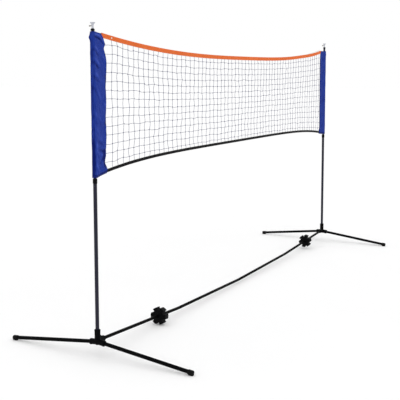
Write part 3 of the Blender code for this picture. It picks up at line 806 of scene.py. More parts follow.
def cleat_mesh(side):
    """A flared cord cleat: a waisted stem that opens into a rolled rim."""
    low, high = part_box(f"{side}_cleat")
    rim = (high.x - low.x) / 2
    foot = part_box(f"{side}_top_cap")[1].z + CLEAT_LIFT
    top = high.z
    outline = rounded([
        (0, foot), (0.0062, foot), (0.0064, foot + 0.0022), (0.0050, foot + 0.0040), (0.0046, foot + 0.0090),
        (0.0052, foot + 0.0150), (0.0068, foot + 0.0195), (0.0100, foot + 0.0238), (rim, top - 0.0020),
        (rim, top), (rim - 0.0022, top), (0.0075, top - 0.0030), (0.0040, top - 0.0046), (0, top - 0.0050),
    ], 0.0014, 5)
    body = lathed("cleat", outline, 64, upright(f"{side}_cleat"))
    centre = centre_of(f"{side}_cleat")
    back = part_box(f"{side}_cleat_pin")[0].y - CLEAR
    across = facing((0, 1, 0), (centre.x, back, centre_of(f"{side}_cleat_pin").z))
    return carved(body, [drilled(CLEAT_HOLE_R, 0.0, 0.02, 32, across)])


def pin_mesh(side):
    """The cleat's pin, with a ribbed head."""
    low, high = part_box(f"{side}_cleat_pin")
    head = (high.x - low.x) / 2
    length = high.y - low.y
    outline = [(0, 0), (PIN_SHANK_R - 0.0003, 0), (PIN_SHANK_R, 0.0003), (PIN_SHANK_R, length - 0.0056)]
    for i in range(3):
        z = length - 0.0050 + 0.0015 * i
        outline += [(head, z), (head, z + 0.0008), (head - 0.0004, z + 0.0010), (head - 0.0004, z + 0.0013)]
    outline += [(head - 0.0012, length), (0, length)]
    place = facing((0, 1, 0), ((low.x + high.x) / 2, low.y, (low.z + high.z) / 2))
    return lathed("pin", rounded(outline, 0.0002, 2), 40, place, sharp=40)


def build_fittings():
    for side in SIDES:
        post = f"{side}_post"
        for name, shaped, coat, body, slot, node in (
            ("grip_collar", collar_mesh, CAP_PLASTIC, "frame", "gloss_black", "post_collar"),
            ("cap", cap_mesh, CAP_PLASTIC, post, "gloss_black", "top_cap"),
            ("cord_cleat", cleat_mesh, GREY_PLASTIC, post, "grey_plastic", "cleat"),
            ("pin", pin_mesh, PIN_METAL, post, "dark_pin", "cleat_pin"),
        ):
            piece(f"{side}_{name}", shaped(side), coat, body, slot, f"{side}_{node}")


# ---------------------------------------------------------------- star supports

STAR_R = 0.0455
STAR_ROOT_R = 0.0325
STAR_HALF_NECK = 0.011
STAR_HALF_HEAD = 0.013
STAR_HEAD_R = 0.0385        # where a tooth's head starts
STAR_TEETH = 6
STAR_HALF = 0.017           # half the wheel's thickness
STAR_RING_R = 0.0215
STAR_BOSS_R = 0.0135
STAR_BOSS_HALF = 0.021
STAR_BORE_R = 0.0083
STAR_BEAD = 0.0016          # round the rim's edge
STAR_RIB = (0.016, 0.0440)  # a tooth's rib, from one radius to another
STAR_RIB_HALF = 0.0011
STAR_TURN = {"left": math.radians(30.5), "right": math.radians(13.5)}


def star_outline(inset):
    """The wheel's rim, drawn in by some distance, with the same number of points at any distance."""
    tip = STAR_R - inset
    root = STAR_ROOT_R - inset
    neck = STAR_HALF_NECK - inset
    head = STAR_HALF_HEAD - inset
    under = STAR_HEAD_R + inset
    lean = math.atan2(head, math.sqrt(tip ** 2 - head ** 2))
    flank = [
        (math.sqrt(root ** 2 - neck ** 2), neck), (under - 0.0010, neck), (under, head),
        (tip * math.cos(lean), tip * math.sin(lean)), (tip * math.cos(lean / 2), tip * math.sin(lean / 2)),
    ]
    notch = (root * math.cos(math.pi / STAR_TEETH), root * math.sin(math.pi / STAR_TEETH))
    tooth = [(x, -y) for x, y in flank] + [(tip, 0.0)] + flank[::-1] + [notch]
    points = []
    for number in range(STAR_TEETH):
        turn = math.tau * number / STAR_TEETH
        c, s = math.cos(turn), math.sin(turn)
        points += [(x * c - y * s, x * s + y * c) for x, y in tooth]
    return np.array(rounded([points[-1], *points, points[0]], 0.0021, 3)[1:-1])


def star_mesh():
    """A wheel about local Z: hammer-headed teeth, sunk faces in a raised rim, a ring, a boss and a bore."""
    bead = STAR_BEAD
    half = []
    for inset, depth in (
        (0.0, bead), (bead * 0.3, bead * 0.3), (bead, 0), (bead + 0.0004, 0), (bead + 0.0010, 0.0012),
        (bead + 0.0012, 0.0026),
    ):
        half.append([(x, y, STAR_HALF - depth) for x, y in star_outline(inset)])
    half = np.array(half)
    shape = Shape().grid(np.concatenate([half[::-1] * np.array([1, 1, -1]), half]))
    for outer, level in ((STAR_RING_R, STAR_HALF - 0.0004), (STAR_BOSS_R, STAR_BOSS_HALF)):
        shape.grid(turned(rounded([(0, -level), (outer, -level), (outer, level), (0, level)], 0.0014), 72))
    start, end = STAR_RIB
    rib = rounded(oblong((start + end) / 2, 0.0, (end - start) / 2, STAR_RIB_HALF), 0.0008, 2)
    level = STAR_HALF - 0.0008
    for number in range(STAR_TEETH):
        turn = Matrix.Rotation(math.tau * number / STAR_TEETH, 4, "Z")
        shape.grid(placed(block(rib, -level, level), turn))
    return carved(moulded(shape, voxel=0.00065, rounds=3), [drilled(STAR_BORE_R, -0.03, 0.03, 64)], sharp=42)


def build_stars():
    wheel = star_mesh()
    for side, bar in (("left", "crossbar_tube_1"), ("right", "crossbar_tube_4")):
        start, end, _ = axis_of(bar)
        mesh = wheel.copy()
        mesh.transform(Matrix.Rotation(STAR_TURN[side], 4, "Z"))
        mesh.transform(star_turn(end - start, centre_of(f"{side}_star_support")))
        piece(f"{side}_star", mesh, STAR_PLASTIC, f"{side}_star", "gloss_black", f"{side}_star_support")


def star_turn(way, centre):
    """Local +Z along the bar and local -X up."""
    slope = math.atan2(-way.z, way.x)
    return Matrix.Translation(centre) @ Matrix.Rotation(math.pi / 2 + slope, 4, "Y")


# ---------------------------------------------------------------- tapes

BAND_PAST = 0.034           # how far a tape runs on into each sleeve
BAND_RINGS = 281
BAND_SKIN = 0.0008
SEAM_INSET = 0.0030         # from the tape's open edge
SEAM_Y = 0.00125
STITCH_PITCH = 0.0042
# One stitch: share of its length, lift and width in its own radii
STITCH = ((-0.5, -0.9, 0.55), (-0.36, 0.15, 1.0), (0.0, 0.35, 1.0), (0.36, 0.15, 1.0), (0.5, -0.9, 0.55))


def band_profile(half, thick, skin):
    """A folded tape across its run: closed over the cord at the fold, its lips sewn flat at the other edge.
    Gives (y, z) pairs round the cloth's section, the fold up, and the way round it."""
    lip = skin + 0.00035
    outside = [(lip + 0.0002, -half), (lip, -half + 0.0022), (lip + 0.00015, -half + 0.0045)]
    outside += [(thick * 0.72, half - 0.0078), (thick * 0.96, half - 0.0052), (thick, half - 0.0030)]
    for turn in np.linspace(0, math.pi / 2, 7)[1:-1]:
        outside.append((thick * math.cos(turn), half - 0.0030 + 0.0030 * math.sin(turn)))
    outside.append((0.0, half))
    outside += [(-y, z) for y, z in reversed(outside[:-1])]
    outside = np.array(outside)
    way = unit(np.gradient(outside, axis=0))
    inside = outside + skin * np.stack([-way[:, 1], way[:, 0]], axis=-1)
    run = np.concatenate([[0], np.cumsum(np.linalg.norm(np.diff(outside, axis=0), axis=1))])
    return np.concatenate([outside, inside[::-1]]), np.concatenate([run, run[::-1]])


def band_sway(x, half):
    """How far a tape's middle strays across the net, and how it leans."""
    wave = wander(x * 7.0, half * 900, 3.1)
    lean = wander(x * 4.0, half * 500, 5.3)
    return 0.0007 * wave, 0.05 * lean


def build_band(name, node, slot, middle, half, up, tape, thread):
    """A folded tape along the net's edge, slightly drawn up between its stitches, and its seam. up is 1 for a
    tape with its fold on top, and -1 for one with its fold below."""
    reach = NET_END_X + BAND_PAST
    xs = np.linspace(-reach, reach, BAND_RINGS)
    profile, run = band_profile(half, BAND_HALF_THICK, BAND_SKIN)
    rings = np.zeros((BAND_RINGS, len(profile), 3))
    lip = np.clip((half * 0.2 - profile[:, 1]) / (1.2 * half), 0, 1)
    for i, x in enumerate(xs):
        stray, lean = band_sway(x, half)
        ripple = 0.0005 * wander(x * 60.0, half * 900, 9.7) * lip
        pressed = 1.0 - 0.30 * min(max((abs(x) - NET_END_X + 0.004) / 0.012, 0.0), 1.0)
        z = profile[:, 1] + ripple
        rings[i, :, 0] = x
        rings[i, :, 1] = profile[:, 0] * pressed + stray + ripple + lean * z
        rings[i, :, 2] = middle(x) + up * z
    uv = np.zeros((BAND_RINGS, len(profile) + 1, 2))
    uv[..., 0] = np.concatenate([run, run[:1]])[None, :]
    uv[..., 1] = xs[:, None]
    piece(name, Shape().grid(rings, uv=uv).mesh(name, outward=True), tape, "left_post", slot, node)
    seam = Shape()
    seam_z = SEAM_INSET - half
    for face in (-1, 1):
        for x in np.arange(-NET_END_X + 0.001, NET_END_X - 0.001, STITCH_PITCH):
            stray, lean = band_sway(x, half)
            place = (x, face * SEAM_Y + stray + lean * seam_z, middle(x) + up * seam_z)
            way = (1, 0, (middle(x + 0.01) - middle(x - 0.01)) / 0.02)
            add_stitch(seam, place, way, (0, face, 0), STITCH_PITCH * 0.72, 0.00030)
    piece(name + "_seam", seam.mesh(name + "_seam"), thread, "left_post", slot)


def add_stitch(shape, place, way, out, length, radius):
    """One stitch: a short thread that rises from the cloth and goes back into it."""
    place = np.array(place, float)
    way = unit(np.array(way, float))
    out = unit(np.array(out, float))
    side = unit(np.cross(way, out))
    angles = np.linspace(0, math.tau, 6, endpoint=False)
    circle = radius * (np.outer(np.cos(angles), side) + np.outer(np.sin(angles), out))
    rings = []
    for share, lift, width in STITCH:
        rings.append(place + way * share * length + out * lift * radius + width * circle)
    uv = np.zeros((len(STITCH), 7, 2))
    uv[..., 0] = np.linspace(0, math.tau * radius, 7)[None, :]
    uv[..., 1] = np.linspace(0, length, len(STITCH))[:, None]
    shape.grid(np.array(rings), uv=uv)


# ---------------------------------------------------------------- the net

KNOT_STEPS = 20
KNOT_SIZE = 0.001224
KNOT_TWINE_R = TWINE_R * 0.86       # drawn tight
EYELET_BORE_R = 0.0017
EYELET_ROLL = 0.0009                # how far the rolled rim stands off the tape


def net_knots():
    """Where the twine crosses: even columns and rows between the tapes, strayed a little as twine does."""
    columns = FIRST_COLUMN_X + COLUMN_PITCH * np.arange(NET_COLUMNS)
    top = top_band_z(columns)
    shares = FIRST_ROW + ROW_PITCH * np.arange(NET_ROWS)
    knots = np.zeros((NET_COLUMNS, NET_ROWS, 3))
    knots[..., 0] = columns[:, None]
    near_left = np.clip((-0.9 - columns) / 0.5, 0, 1)
    depth = (bottom_band_z(columns) - top)[:, None]
    knots[..., 2] = top[:, None] + depth * (shares[None, :] - 0.011 * near_left[:, None])
    for way, stray in ((0, 0.0019), (2, 0.0015), (1, 0.0012)):
        knots[..., way] += RNG.normal(0, stray, (NET_COLUMNS, NET_ROWS))
    for place in knots.reshape(-1, 3):
        x, _, z = place
        place[0] += 0.0040 * wander(x * 3.0, z * 9.0, 4.4)
        place[1] += 0.0050 * wander(x * 2.2, z * 3.0, 0.7)
    return columns, knots


def build_net():
    """Knotted twine: columns and rows between the tapes, with a knot at each crossing."""
    columns, knots = net_knots()
    shape = Shape()
    for i, x in enumerate(columns):
        first = (x, 0.0, top_band_z(x) - TOP_BAND_HALF + 0.0035)
        last = (x, 0.0, bottom_band_z(x) + BOTTOM_BAND_HALF - 0.0030)
        rings, uv = along_path(slack(np.array([first, *knots[i], last]), 5, 0.0009), TWINE_R, 7)
        shape.grid(rings, uv=uv)
    for j in range(NET_ROWS):
        left, right = row_end("left", knots[0, j, 2]), row_end("right", knots[-1, j, 2])
        between = slack(np.array([left[0], *knots[:, j], right[0]]), 5, 0.0012)
        rings, uv = along_path(np.array([left[1], *between, right[1]]), TWINE_R, 7)
        shape.grid(rings, uv=uv)
    for i in range(NET_COLUMNS):
        for j in range(NET_ROWS):
            add_knot(shape, knots[i, j], 1 if (i + j) % 2 else -1)
    piece("knotted_net", shape.mesh("knotted_net"), TWINE, "left_post", "net_cord", "net_panel")


def row_end(side, z):
    """Where a row passes between a sleeve's layers, and where it ends a little way inside them."""
    edge = POST_X - smooth_curve(INNER_EDGE[side], z)
    return [(math.copysign(edge + step, SIDES[side]), 0.0, z) for step in (-0.0025, 0.0065)]


def slack(run, steps, sag):
    """The run of knots with a slightly slack, uneven thread from each to the next."""
    made = [run[0]]
    for start, end in zip(run, run[1:]):
        lean = RNG.normal(0, sag, 3)
        for i in range(1, steps + 1):
            t = i / steps
            made.append(start + (end - start) * t + lean * math.sin(math.pi * t))
    return np.array(made)


def add_knot(shape, place, hand):
    """A sheet bend, as one loop of twine pulled tight round the crossing."""
    t = np.linspace(0, math.tau, KNOT_STEPS, endpoint=False)
    x = KNOT_SIZE * (np.sin(t) + 1.15 * np.sin(2 * t))
    y = KNOT_SIZE * -1.05 * np.sin(3 * t)
    z = KNOT_SIZE * (np.cos(t) - 1.15 * np.cos(2 * t)) * hand
    turn = RNG.uniform(-0.5, 0.5)
    c, s = math.cos(turn), math.sin(turn)
    path = place + np.stack([x * c - z * s, y, x * s + z * c], axis=-1)
    ahead = unit(np.roll(path, -1, axis=0) - np.roll(path, 1, axis=0))
    side = unit(np.cross(ahead, (0.0, 1.0, 0.0)))
    other = np.cross(ahead, side)
    angles = np.linspace(0, math.tau, 6, endpoint=False)
    rings = path[:, None, :] + KNOT_TWINE_R * (
        np.cos(angles)[None, :, None] * side[:, None, :] + np.sin(angles)[None, :, None] * other[:, None, :]
    )
    uv = np.zeros((KNOT_STEPS + 1, 7, 2))
    uv[..., 0] = np.linspace(0, math.tau * KNOT_TWINE_R, 7)[None, :]
    uv[..., 1] = np.linspace(0, 0.014, KNOT_STEPS + 1)[:, None]
    shape.grid(rings, close=True, uv=uv)


def build_eyelets():
    """Rolled eyelets through the top tape."""
    bore = EYELET_BORE_R
    for side in SIDES:
        low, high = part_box(f"{side}_eyelet")
        rim = (high.x - low.x) / 2
        face = (high.y - low.y) / 2 - EYELET_ROLL
        near = [
            (bore, 0.0), (bore, face - 0.0008), (bore + 0.0003, face + 0.0005),
            (bore + 0.0012, face + EYELET_ROLL),
            (rim - 0.0010, face + 0.0007), (rim - 0.0002, face + 0.0001), (rim, face - 0.0004),
            (rim - 0.0005, face - 0.0005), (bore + 0.0008, face - 0.0005), (bore + 0.0005, face - 0.0012),
            (bore + 0.0005, 0.0),
        ]
        outline = near + [(r, -z) for r, z in reversed(near[1:-1])]
        mesh = lathed("eyelet", outline, 44, facing((0, 1, 0), (low + high) / 2), close=True, sharp=60)
        piece(f"{side}_rolled_eyelet", mesh, EYELET_METAL, "left_post", "eyelet_metal", f"{side}_eyelet")


# ---------------------------------------------------------------- sleeves

POCKET_R = 0.0122
SLEEVE_BOTTOM = 0.8385
CLOTH = 0.0005
LEAVE = math.radians(80)    # where each layer leaves the pocket round the post
FLAP, ARC, ROWS = 52, 30, 300       # points across each layer and round the post, and rows
# How each sleeve hangs. front is the side that carries its main folds, in the sleeve's own axes. The rest
# are its noise's seed, its top, how its two ends slope, its tone, an offset added to the sleeve's painted
# shade, and shares of crumple, of the folds' painted shade with random mottle, of gather and of puff.
SLEEVES = {
    "left": dict(
        front=(-0.81, -0.59), seed=11.0, top=1.4965, top_drop=0.0090, rise=0.0125, crumple=1.0, painted_light_and_mottle=1.0,
        tone=-0.05, gather=1.0, puff=1.0,
    ),
    "right": dict(
        front=(0.94, 0.34), seed=47.0, top=1.4790, top_drop=0.0015, rise=0.0090, crumple=0.55, painted_light_and_mottle=0.35,
        tone=0.32, gather=0.0, puff=0.25,
    ),
}
# Main folds, in millimetres: from (distance from the post's axis, height) to (distance, height), half width
# and depth, and then the tone: how dark the shade painted in the crease is, with a painted highlight beside
# it
FOLDS_MM = {
    "left": [
        (-9, 1418, 32, 1390, 7.5, 2.2, 0.60), (-11, 1364, 30, 1334, 8, 2.6, 0.75),
        (-8, 1299, 34, 1271, 7.5, 2.2, 0.55), (-12, 1248, 20, 1208, 7.5, 2.4, 0.60),
        (16, 1212, 46, 1168, 6.5, 1.8, 0.35), (28, 1162, 42, 1122, 7, 1.4, 0.30),
        (-10, 1120, 6, 1082, 7, 1.6, 0.35), (-12, 1062, 18, 1030, 7.5, 1.8, 0.40),
        (88, 1092, 70, 1045, 7, 1.8, 0.45), (-11, 1010, -12, 850, 8.5, 0.8, 0.80),
        (10, 1004, 52, 988, 7.5, 2.2, 0.45), (22, 966, 78, 950, 8, 2.4, 0.50),
        (2, 958, 16, 925, 7, 1.6, 0.45), (36, 900, 74, 938, 7, 2.2, 0.45),
        (73, 958, 78, 884, 8.8, 2.2, 1.90), (-2, 884, 14, 852, 6.5, 1.6, 0.55),
        (-4, 1474, 26, 1471, 5.2, 3.4, 1.10), (24, 1472, 50, 1462, 5.5, 3.4, 1.10),
        (50, 1463, 82, 1440, 5.2, 2.8, 0.75), (88, 1310, 92, 1230, 6, 1.4, 0.40),
        (50, 1385, 78, 1352, 8, 1.8, 0.30), (84, 1205, 60, 1165, 8, 1.8, 0.30),
    ],
    "right": [
        (60, 1430, 40, 1400, 7.5, 1.4, 0.35), (30, 1330, 64, 1300, 8, 1.4, 0.35),
        (60, 1240, 30, 1200, 8, 1.4, 0.30), (34, 1120, 60, 1090, 7.5, 1.4, 0.35),
        (64, 1010, 36, 985, 7.5, 1.4, 0.35), (40, 920, 70, 895, 7.5, 1.6, 0.40),
        (10, 1380, 26, 1340, 7.5, 1.2, 0.35), (12, 1060, 24, 1020, 7.5, 1.2, 0.35),
    ],
}
# Inner edge of each sleeve, in millimetres: height, and distance from the post's axis
INNER_EDGE_MM = {
    "left": [
        (838, 92), (858, 95), (872, 90), (890, 79), (915, 84), (960, 89), (1030, 93), (1100, 90),
        (1180, 95), (1260, 93), (1310, 98), (1360, 101), (1385, 98), (1415, 87), (1430, 83), (1438, 86),
        (1447, 92), (1460, 85), (1473, 78), (1484, 70), (1496.5, 60),
    ],
    "right": [
        (838, 96), (860, 95), (880, 88), (930, 86), (1020, 89), (1120, 87), (1220, 90), (1310, 88),
        (1400, 90), (1440, 87), (1476, 84),
    ],
}
FOLDS = {
    side: [[*(value * 0.001 for value in fold[:6]), fold[6]] for fold in folds]
    for side, folds in FOLDS_MM.items()
}
INNER_EDGE = {side: np.array(edge) * 0.001 for side, edge in INNER_EDGE_MM.items()}


def smooth_curve(points, value):
    """A smooth curve through (place, height) points, as a Catmull-Rom spline."""
    xs, ys = points.T
    slopes = np.gradient(ys, xs)
    i = int(np.clip(np.searchsorted(xs, value) - 1, 0, len(xs) - 2))
    width = xs[i + 1] - xs[i]
    t = min(max((value - xs[i]) / width, 0.0), 1.0)
    leave, arrive = slopes[i] * width, slopes[i + 1] * width
    ends = (2 * t ** 3 - 3 * t ** 2 + 1) * ys[i] + (3 * t ** 2 - 2 * t ** 3) * ys[i + 1]
    return ends + (t ** 3 - 2 * t ** 2 + t) * leave + (t ** 3 - t ** 2) * arrive


def smooth_step(value, low, high):
    t = min(max((value - low) / (high - low), 0.0), 1.0)
    return t * t * (3 - 2 * t)


def bell(offset, spread):
    return math.exp(-(offset / spread) ** 2)


def ridge(x, y, z):
    """A crease pattern: 1 along sharp folds, falling towards 0 between them."""
    return (1.0 - abs(wander(x, y, z))) ** 3


def fold_at(side, x, z):
    """The main folds at a place on a sleeve: how far they draw the cloth in, and how much light is painted on
    it, from -1, a painted highlight on a ridge, to 1, painted shade in a crease."""
    made = np.zeros(2)
    for x0, z0, x1, z1, half, depth, dark in FOLDS[side]:
        way = (x1 - x0, z1 - z0)
        length = math.hypot(*way)
        share = ((x - x0) * way[0] + (z - z0) * way[1]) / length / length
        off = ((x - x0) * way[1] - (z - z0) * way[0]) / length / half
        if share < -0.5 or share > 1.5 or abs(off) > 4.5:
            continue
        end = smooth_step(share, -0.22, 0.22) * (1 - smooth_step(share, 0.70, 1.25))
        made[0] += depth * end * (bell(off, 1.0) - 0.55 * bell(off + 1.7, 1.0))
        # Painted shade along the crease, and a painted highlight beside it
        made[1] += dark * end * (bell(off, 1.1) - 0.8 * bell(off + 2.0, 1.1))
    return made


def clear_of_post(z):
    """The least radius of cloth that clears the lower tube and its collar when the post is slid down."""
    return 0.0099 + 0.0019 * smooth_step(z, 1.4580, 1.4680)


def sleeve_level(side, level):
    """The sleeve at one height: its width, the pocket's radius, and how far the layers part at the edge."""
    hang = SLEEVES[side]
    seed = hang["seed"]
    width = smooth_curve(INNER_EDGE[side], level)
    width += hang["crumple"] * 0.0016 * wander(seed, 0.0, level * 34)
    width += hang["crumple"] * 0.0008 * wander(seed, 3.0, level * 95)
    pocket_r = POCKET_R + 0.0006 + 0.0005 * wander(seed, 5.0, level * 16)
    over_top = 0.0018 * bell(level - TOP_BAND_END_Z, 0.0150)
    over_bottom = 0.0016 * bell(level - BOTTOM_BAND_END_Z, 0.0110)
    return width, pocket_r, 0.0016 + over_top + over_bottom


def gathered(hang, level):
    return hang["gather"] * smooth_step(level, hang["top"] - 0.0055, hang["top"] - 0.0010)


def pocket_point(turn, level, pocket_r, hang):
    """A point of the pocket round the post, and the way it faces. It puffs out below its gathered top."""
    out = (math.cos(turn), math.sin(turn))
    r = pocket_r + 0.0009 * wander(out[0] * 1.4, out[1] * 1.4 + hang["seed"], level * 22)
    lean = max(0.0, math.cos(turn - math.radians(118)))
    r += hang["puff"] * bell(level - hang["top"] + 0.026, 0.0105) * (0.0046 * lean ** 2 + 0.0008)
    neck = 0.0117 + 0.00042 * math.cos(11 * turn + 3 * level)
    gather = gathered(hang, level)
    r = r * (1 - gather) + gather * neck
    return [r * out[0], r * out[1]], out


def flap_point(face, s, level, row, hang):
    """A point of one layer between the pocket, s = 0, and the inner edge, s = 1, and the way it faces."""
    width, pocket_r, edge = row
    start_x, start_y = pocket_r * math.cos(LEAVE), pocket_r * math.sin(LEAVE)
    sag = 0.0011 * math.sin(math.pi * min(s * 1.15, 1.0)) ** 2
    y = max(start_y + (edge - start_y) * (1 - (1 - s) ** 1.35) - sag, 0.0010)
    parted, stray = flap_folds(face, s, level, hang)
    out = (math.cos(LEAVE), face * math.sin(LEAVE))
    return [start_x + (width - start_x) * s, face * (y + parted) + stray], out


def flap_folds(face, s, level, hang):
    """How far the flap's wave parts its two layers, and how far small folds carry one of them aside."""
    seed = hang["seed"]
    grow = smooth_step(s, 0.0, 0.35)
    x = s * 0.1
    wave = 0.0022 * grow * wander(seed, x * 9, level * 13) * (1 - smooth_step(s, 0.70, 0.92))
    fold = ridge(level * 26 + x * 42, x * 14, seed) - 0.45
    small = wander(x * 90, level * 60, seed + 8 * face)
    strength = 0.5 + 1.1 * bell(hang["top"] - level, 0.055) + 0.6 * bell(level - SLEEVE_BOTTOM, 0.045)
    rise = (0.0014 * fold + 0.0006 * small) * grow * strength * hang["crumple"]
    return wave, max(rise, -0.0008) * (1.0 - 0.85 * smooth_step(s, 0.86, 0.97))


def hung_point(side, point, out, share, level, width):
    """A point with its height and its main folds, kept off the net and the post, and its painted tone: the
    folds' painted shade and highlight, painted shade behind the post, darker edges and random mottle.
    """
    hang = SLEEVES[side]
    x, y = point
    along = max(x, 0.0) / SLEEVE_WIDTH
    top = hang["top"] - hang["top_drop"] * along ** 0.8
    bottom = SLEEVE_BOTTOM + hang["rise"] * along
    z = bottom + (top - bottom) * share
    seen = smooth_step(out[0] * hang["front"][0] + out[1] * hang["front"][1], -0.25, 0.30)
    draw, tone = fold_at(side, x, z) * seen + fold_at(side, x, z + 0.030) * (1 - seen)
    draw *= (1 - gathered(hang, level)) * (1.0 - 0.8 * smooth_step(x, width - 0.012, width))
    x -= draw * out[0]
    y -= draw * out[1]
    if x > 0.02 and y * out[1] < 0.0007:
        y = math.copysign(0.0007, out[1])
    push = max(1.0, clear_of_post(z) / math.hypot(x, y))
    # Darker along the bottom and the top, and in patches along the inner edge
    hem = 1.3 * (1 - smooth_step(z - bottom, 0.0080, 0.0160)) + 0.6 * bell(z - top, 0.0040)
    hem += 0.9 * smooth_step(x, width - 0.010, width - 0.002) * ridge(hang["seed"], level * 40, 2.0)
    cloud = wander(x * 50 + level * 30, level * 34, hang["seed"] + 9 * out[1])
    broad = wander(x * 18 + level * 12, level * 14, hang["seed"] + 5 * out[1])
    # The folds' painted shade and highlight with random mottle, shifted by the sleeve's tone
    scuff_and_painted_light = hang["tone"] + hang["painted_light_and_mottle"] * (tone + 0.55 * cloud + 0.45 * broad)
    # The last term is painted shade where the pocket turns away round the post, on its side away from the net
    return (x * push, y * push, z), scuff_and_painted_light + hem + 0.45 * smooth_step(-x, 0.002, 0.012)


def sleeve_rows(side):
    """The sleeve's outer skin: rings from the inner edge, round the post and back, bottom to top, and each
    point's painted shade and tone. Local X runs from the post's axis to the net, and local Y across it."""
    hang = SLEEVES[side]
    last = 2 * FLAP + ARC
    skin = np.zeros((ROWS, last + 1, 3))
    scuff_and_painted_light = np.zeros((ROWS, last + 1))
    for j in range(ROWS):
        share = j / (ROWS - 1)
        level = SLEEVE_BOTTOM + (hang["top"] - SLEEVE_BOTTOM) * share
        row = sleeve_level(side, level)
        for i in range(last + 1):
            if FLAP <= i <= FLAP + ARC:
                turn = -LEAVE - (math.tau - 2 * LEAVE) * (i - FLAP) / ARC
                point, out = pocket_point(turn, level, row[1], hang)
            else:
                face = -1 if i < FLAP else 1
                point, out = flap_point(face, 1.0 - min(i, last - i) / FLAP, level, row, hang)
            skin[j, i], scuff_and_painted_light[j, i] = hung_point(side, point, out, share, level, row[0])
    return skin, scuff_and_painted_light


def sleeve_turn(side):
    """What the sleeve's own axes are multiplied by to lie along the world's."""
    return np.array([-SIDES[side], -SIDES[side], 1.0])


def place_sleeve(points, side):
    return np.asarray(points) * sleeve_turn(side) + (SIDES[side] * POST_X, 0.0, 0.0)


def sleeve_seams(side, skin, normal):
    """Stitches down the two open edges, and along the hems at the top and bottom."""
    shape = Shape()
    turn = sleeve_turn(side)
    rows, last = skin.shape[0], skin.shape[1] - 1
    for column in (3, last - 3):
        for j in range(4, rows - 4, 2):
            way = (skin[j + 1, column] - skin[j - 1, column]) * turn
            at = place_sleeve(skin[j, column], side)
            add_stitch(shape, at, way, normal[j, column] * turn, 0.0034, 0.00028)
    for row in (3, rows - 4):
        for i in range(3, last - 3):
            start, way = skin[row, i], skin[row, i + 1] - skin[row, i]
            step = np.linalg.norm(way)
            for part in (0.25, 0.75) if step >= 0.0016 else (0.25,):
                at = place_sleeve(start + way * part, side)
                add_stitch(shape, at, way * turn, normal[row, i] * turn, min(0.0022, 0.9 * step), 0.00026)
    return shape.mesh("seams")


def build_sleeve(side):
    """The sleeve's cloth, closed: its outer skin, and the same skin moved in by the cloth's thickness."""
    skin, scuff_and_painted_light = sleeve_rows(side)
    normal = unit(np.cross(np.gradient(skin, axis=1), np.gradient(skin, axis=0)))
    normal *= np.sign((skin[..., :2] * normal[..., :2]).sum(axis=2).mean())
    ring = np.concatenate([skin, (skin - CLOTH * normal)[:, ::-1]], axis=1)
    steps = np.linalg.norm(np.diff(skin[len(skin) // 2], axis=0), axis=1)
    run = np.concatenate([[0], np.cumsum(steps)])
    uv = np.zeros((len(skin), ring.shape[1] + 1, 2))
    uv[..., 0] = np.concatenate([run, run[::-1], run[:1]])[None, :]
    uv[..., 1] = skin[:, :1, 2]
    mesh = Shape().grid(place_sleeve(ring, side), uv=uv).mesh(f"{side}_cloth_sleeve", outward=True)
    # The fold attribute carries the painted shade and highlight, the darker edges and the mottle
    shade = mesh.attributes.new("fold", "FLOAT", "POINT")
    both = np.concatenate([scuff_and_painted_light, scuff_and_painted_light[:, ::-1]], axis=1)
    shade.data.foreach_set("value", np.clip(both, -1, 1).astype(np.float32).ravel())
    cloth = piece(f"{side}_cloth_sleeve", mesh, BLUE_CLOTH, "left_post", "blue_fabric", f"{side}_sleeve")
    seams = sleeve_seams(side, skin, normal)
    seam_piece = piece(f"{side}_sleeve_seams", seams, BLUE_THREAD, "left_post", "blue_fabric")
    facets = np.cross(np.diff(skin, axis=0)[:, :-1], np.diff(skin, axis=1)[:-1])
    width = float(steps.sum())
    length = float(np.linalg.norm(facets, axis=2).sum()) / width


# ---------------------------------------------------------------- pieces that stay as they are

def finish_hidden_parts():
    """Gives the inner parts that stay their own materials."""
    coats = {"coupler": LEG_COAT, "lock": LOCK_PLASTIC, "cord": WHITE_CORD}
    for name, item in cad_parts.items():
        if item.hide_render:
            continue
        for word, coat in coats.items():
            if word in name:
                item.data.materials.clear()
                item.data.materials.append(coat)


# ---------------------------------------------------------------- stage

FLOOR_HALF = 60.0
FLOOR_DROP = 0.0005         # keeps the floor just under the soles
# Lamps: name, direction they shine from, how soft they are, in degrees, and power
LAMPS = (("key_light", (-3.0, -3.6, 4.4), 50, 0.30), ("fill_light", (1.6, -4.0, 2.2), 70, 0.10))


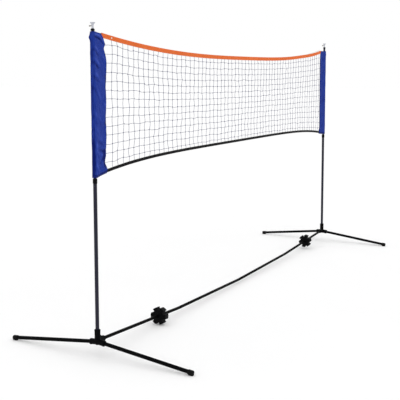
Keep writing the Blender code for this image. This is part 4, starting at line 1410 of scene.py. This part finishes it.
def build_stage():
    """A pale floor, a white sky, and soft studio lights."""
    half = FLOOR_HALF
    corners = np.array([[(-half, -half, 0), (half, -half, 0)], [(-half, half, 0), (half, half, 0)]])
    item = bpy.data.objects.new("floor", Shape().grid(corners, wrap=False).mesh("floor"))
    item.location.z = -FLOOR_DROP
    item.data.materials.append(floor_paint())
    bpy.context.scene.collection.objects.link(item)
    world = bpy.data.worlds.new("studio")
    world.use_nodes = True
    world.node_tree.nodes["Background"].inputs["Color"].default_value = (1.0, 1.0, 1.0, 1.0)
    world.node_tree.nodes["Background"].inputs["Strength"].default_value = 1.0
    bpy.context.scene.world = world
    for name, place, softness, power in LAMPS:
        lamp = bpy.data.lights.new(name, "SUN")
        lamp.angle = math.radians(softness)
        lamp.energy = power
        holder = bpy.data.objects.new(name, lamp)
        holder.matrix_world = facing(place, place)
        bpy.context.scene.collection.objects.link(holder)
    bpy.context.scene.view_settings.view_transform = "Standard"


def build_camera():
    data = bpy.data.cameras.new("camera")
    data.lens = CAMERA_LENS
    data.sensor_width = 36.0
    data.shift_y = CAMERA_SHIFT
    data.clip_end = 200.0
    level = Vector((math.sin(CAMERA_YAW), -math.cos(CAMERA_YAW), 0.0))
    flat = Vector((math.cos(CAMERA_YAW), math.sin(CAMERA_YAW), 0.0))
    ahead = flat * math.cos(CAMERA_DOWN) - Vector((0.0, 0.0, math.sin(CAMERA_DOWN)))
    lifted = level.cross(ahead)
    right = level * math.cos(CAMERA_ROLL) + lifted * math.sin(CAMERA_ROLL)
    up = right.cross(ahead)
    turn = Matrix((right, up, -ahead)).transposed().to_4x4()
    item = bpy.data.objects.new("camera", data)
    item.matrix_world = Matrix.Translation(CAMERA_AT) @ turn
    bpy.context.scene.collection.objects.link(item)
    bpy.context.scene.camera = item


build_camera()
build_stage()
build_tubes()
build_hubs()
build_feet()
build_fittings()
build_stars()
build_band("orange_band", "top_band", "orange_tape", top_band_z, TOP_BAND_HALF, 1, ORANGE_TAPE, ORANGE_THREAD)
build_band(
    "black_band", "bottom_band", "black_tape", bottom_band_z, BOTTOM_BAND_HALF, -1, BLACK_TAPE, BLACK_THREAD,
)
build_net()
build_eyelets()
for side in SIDES:
    build_sleeve(side)
finish_hidden_parts()
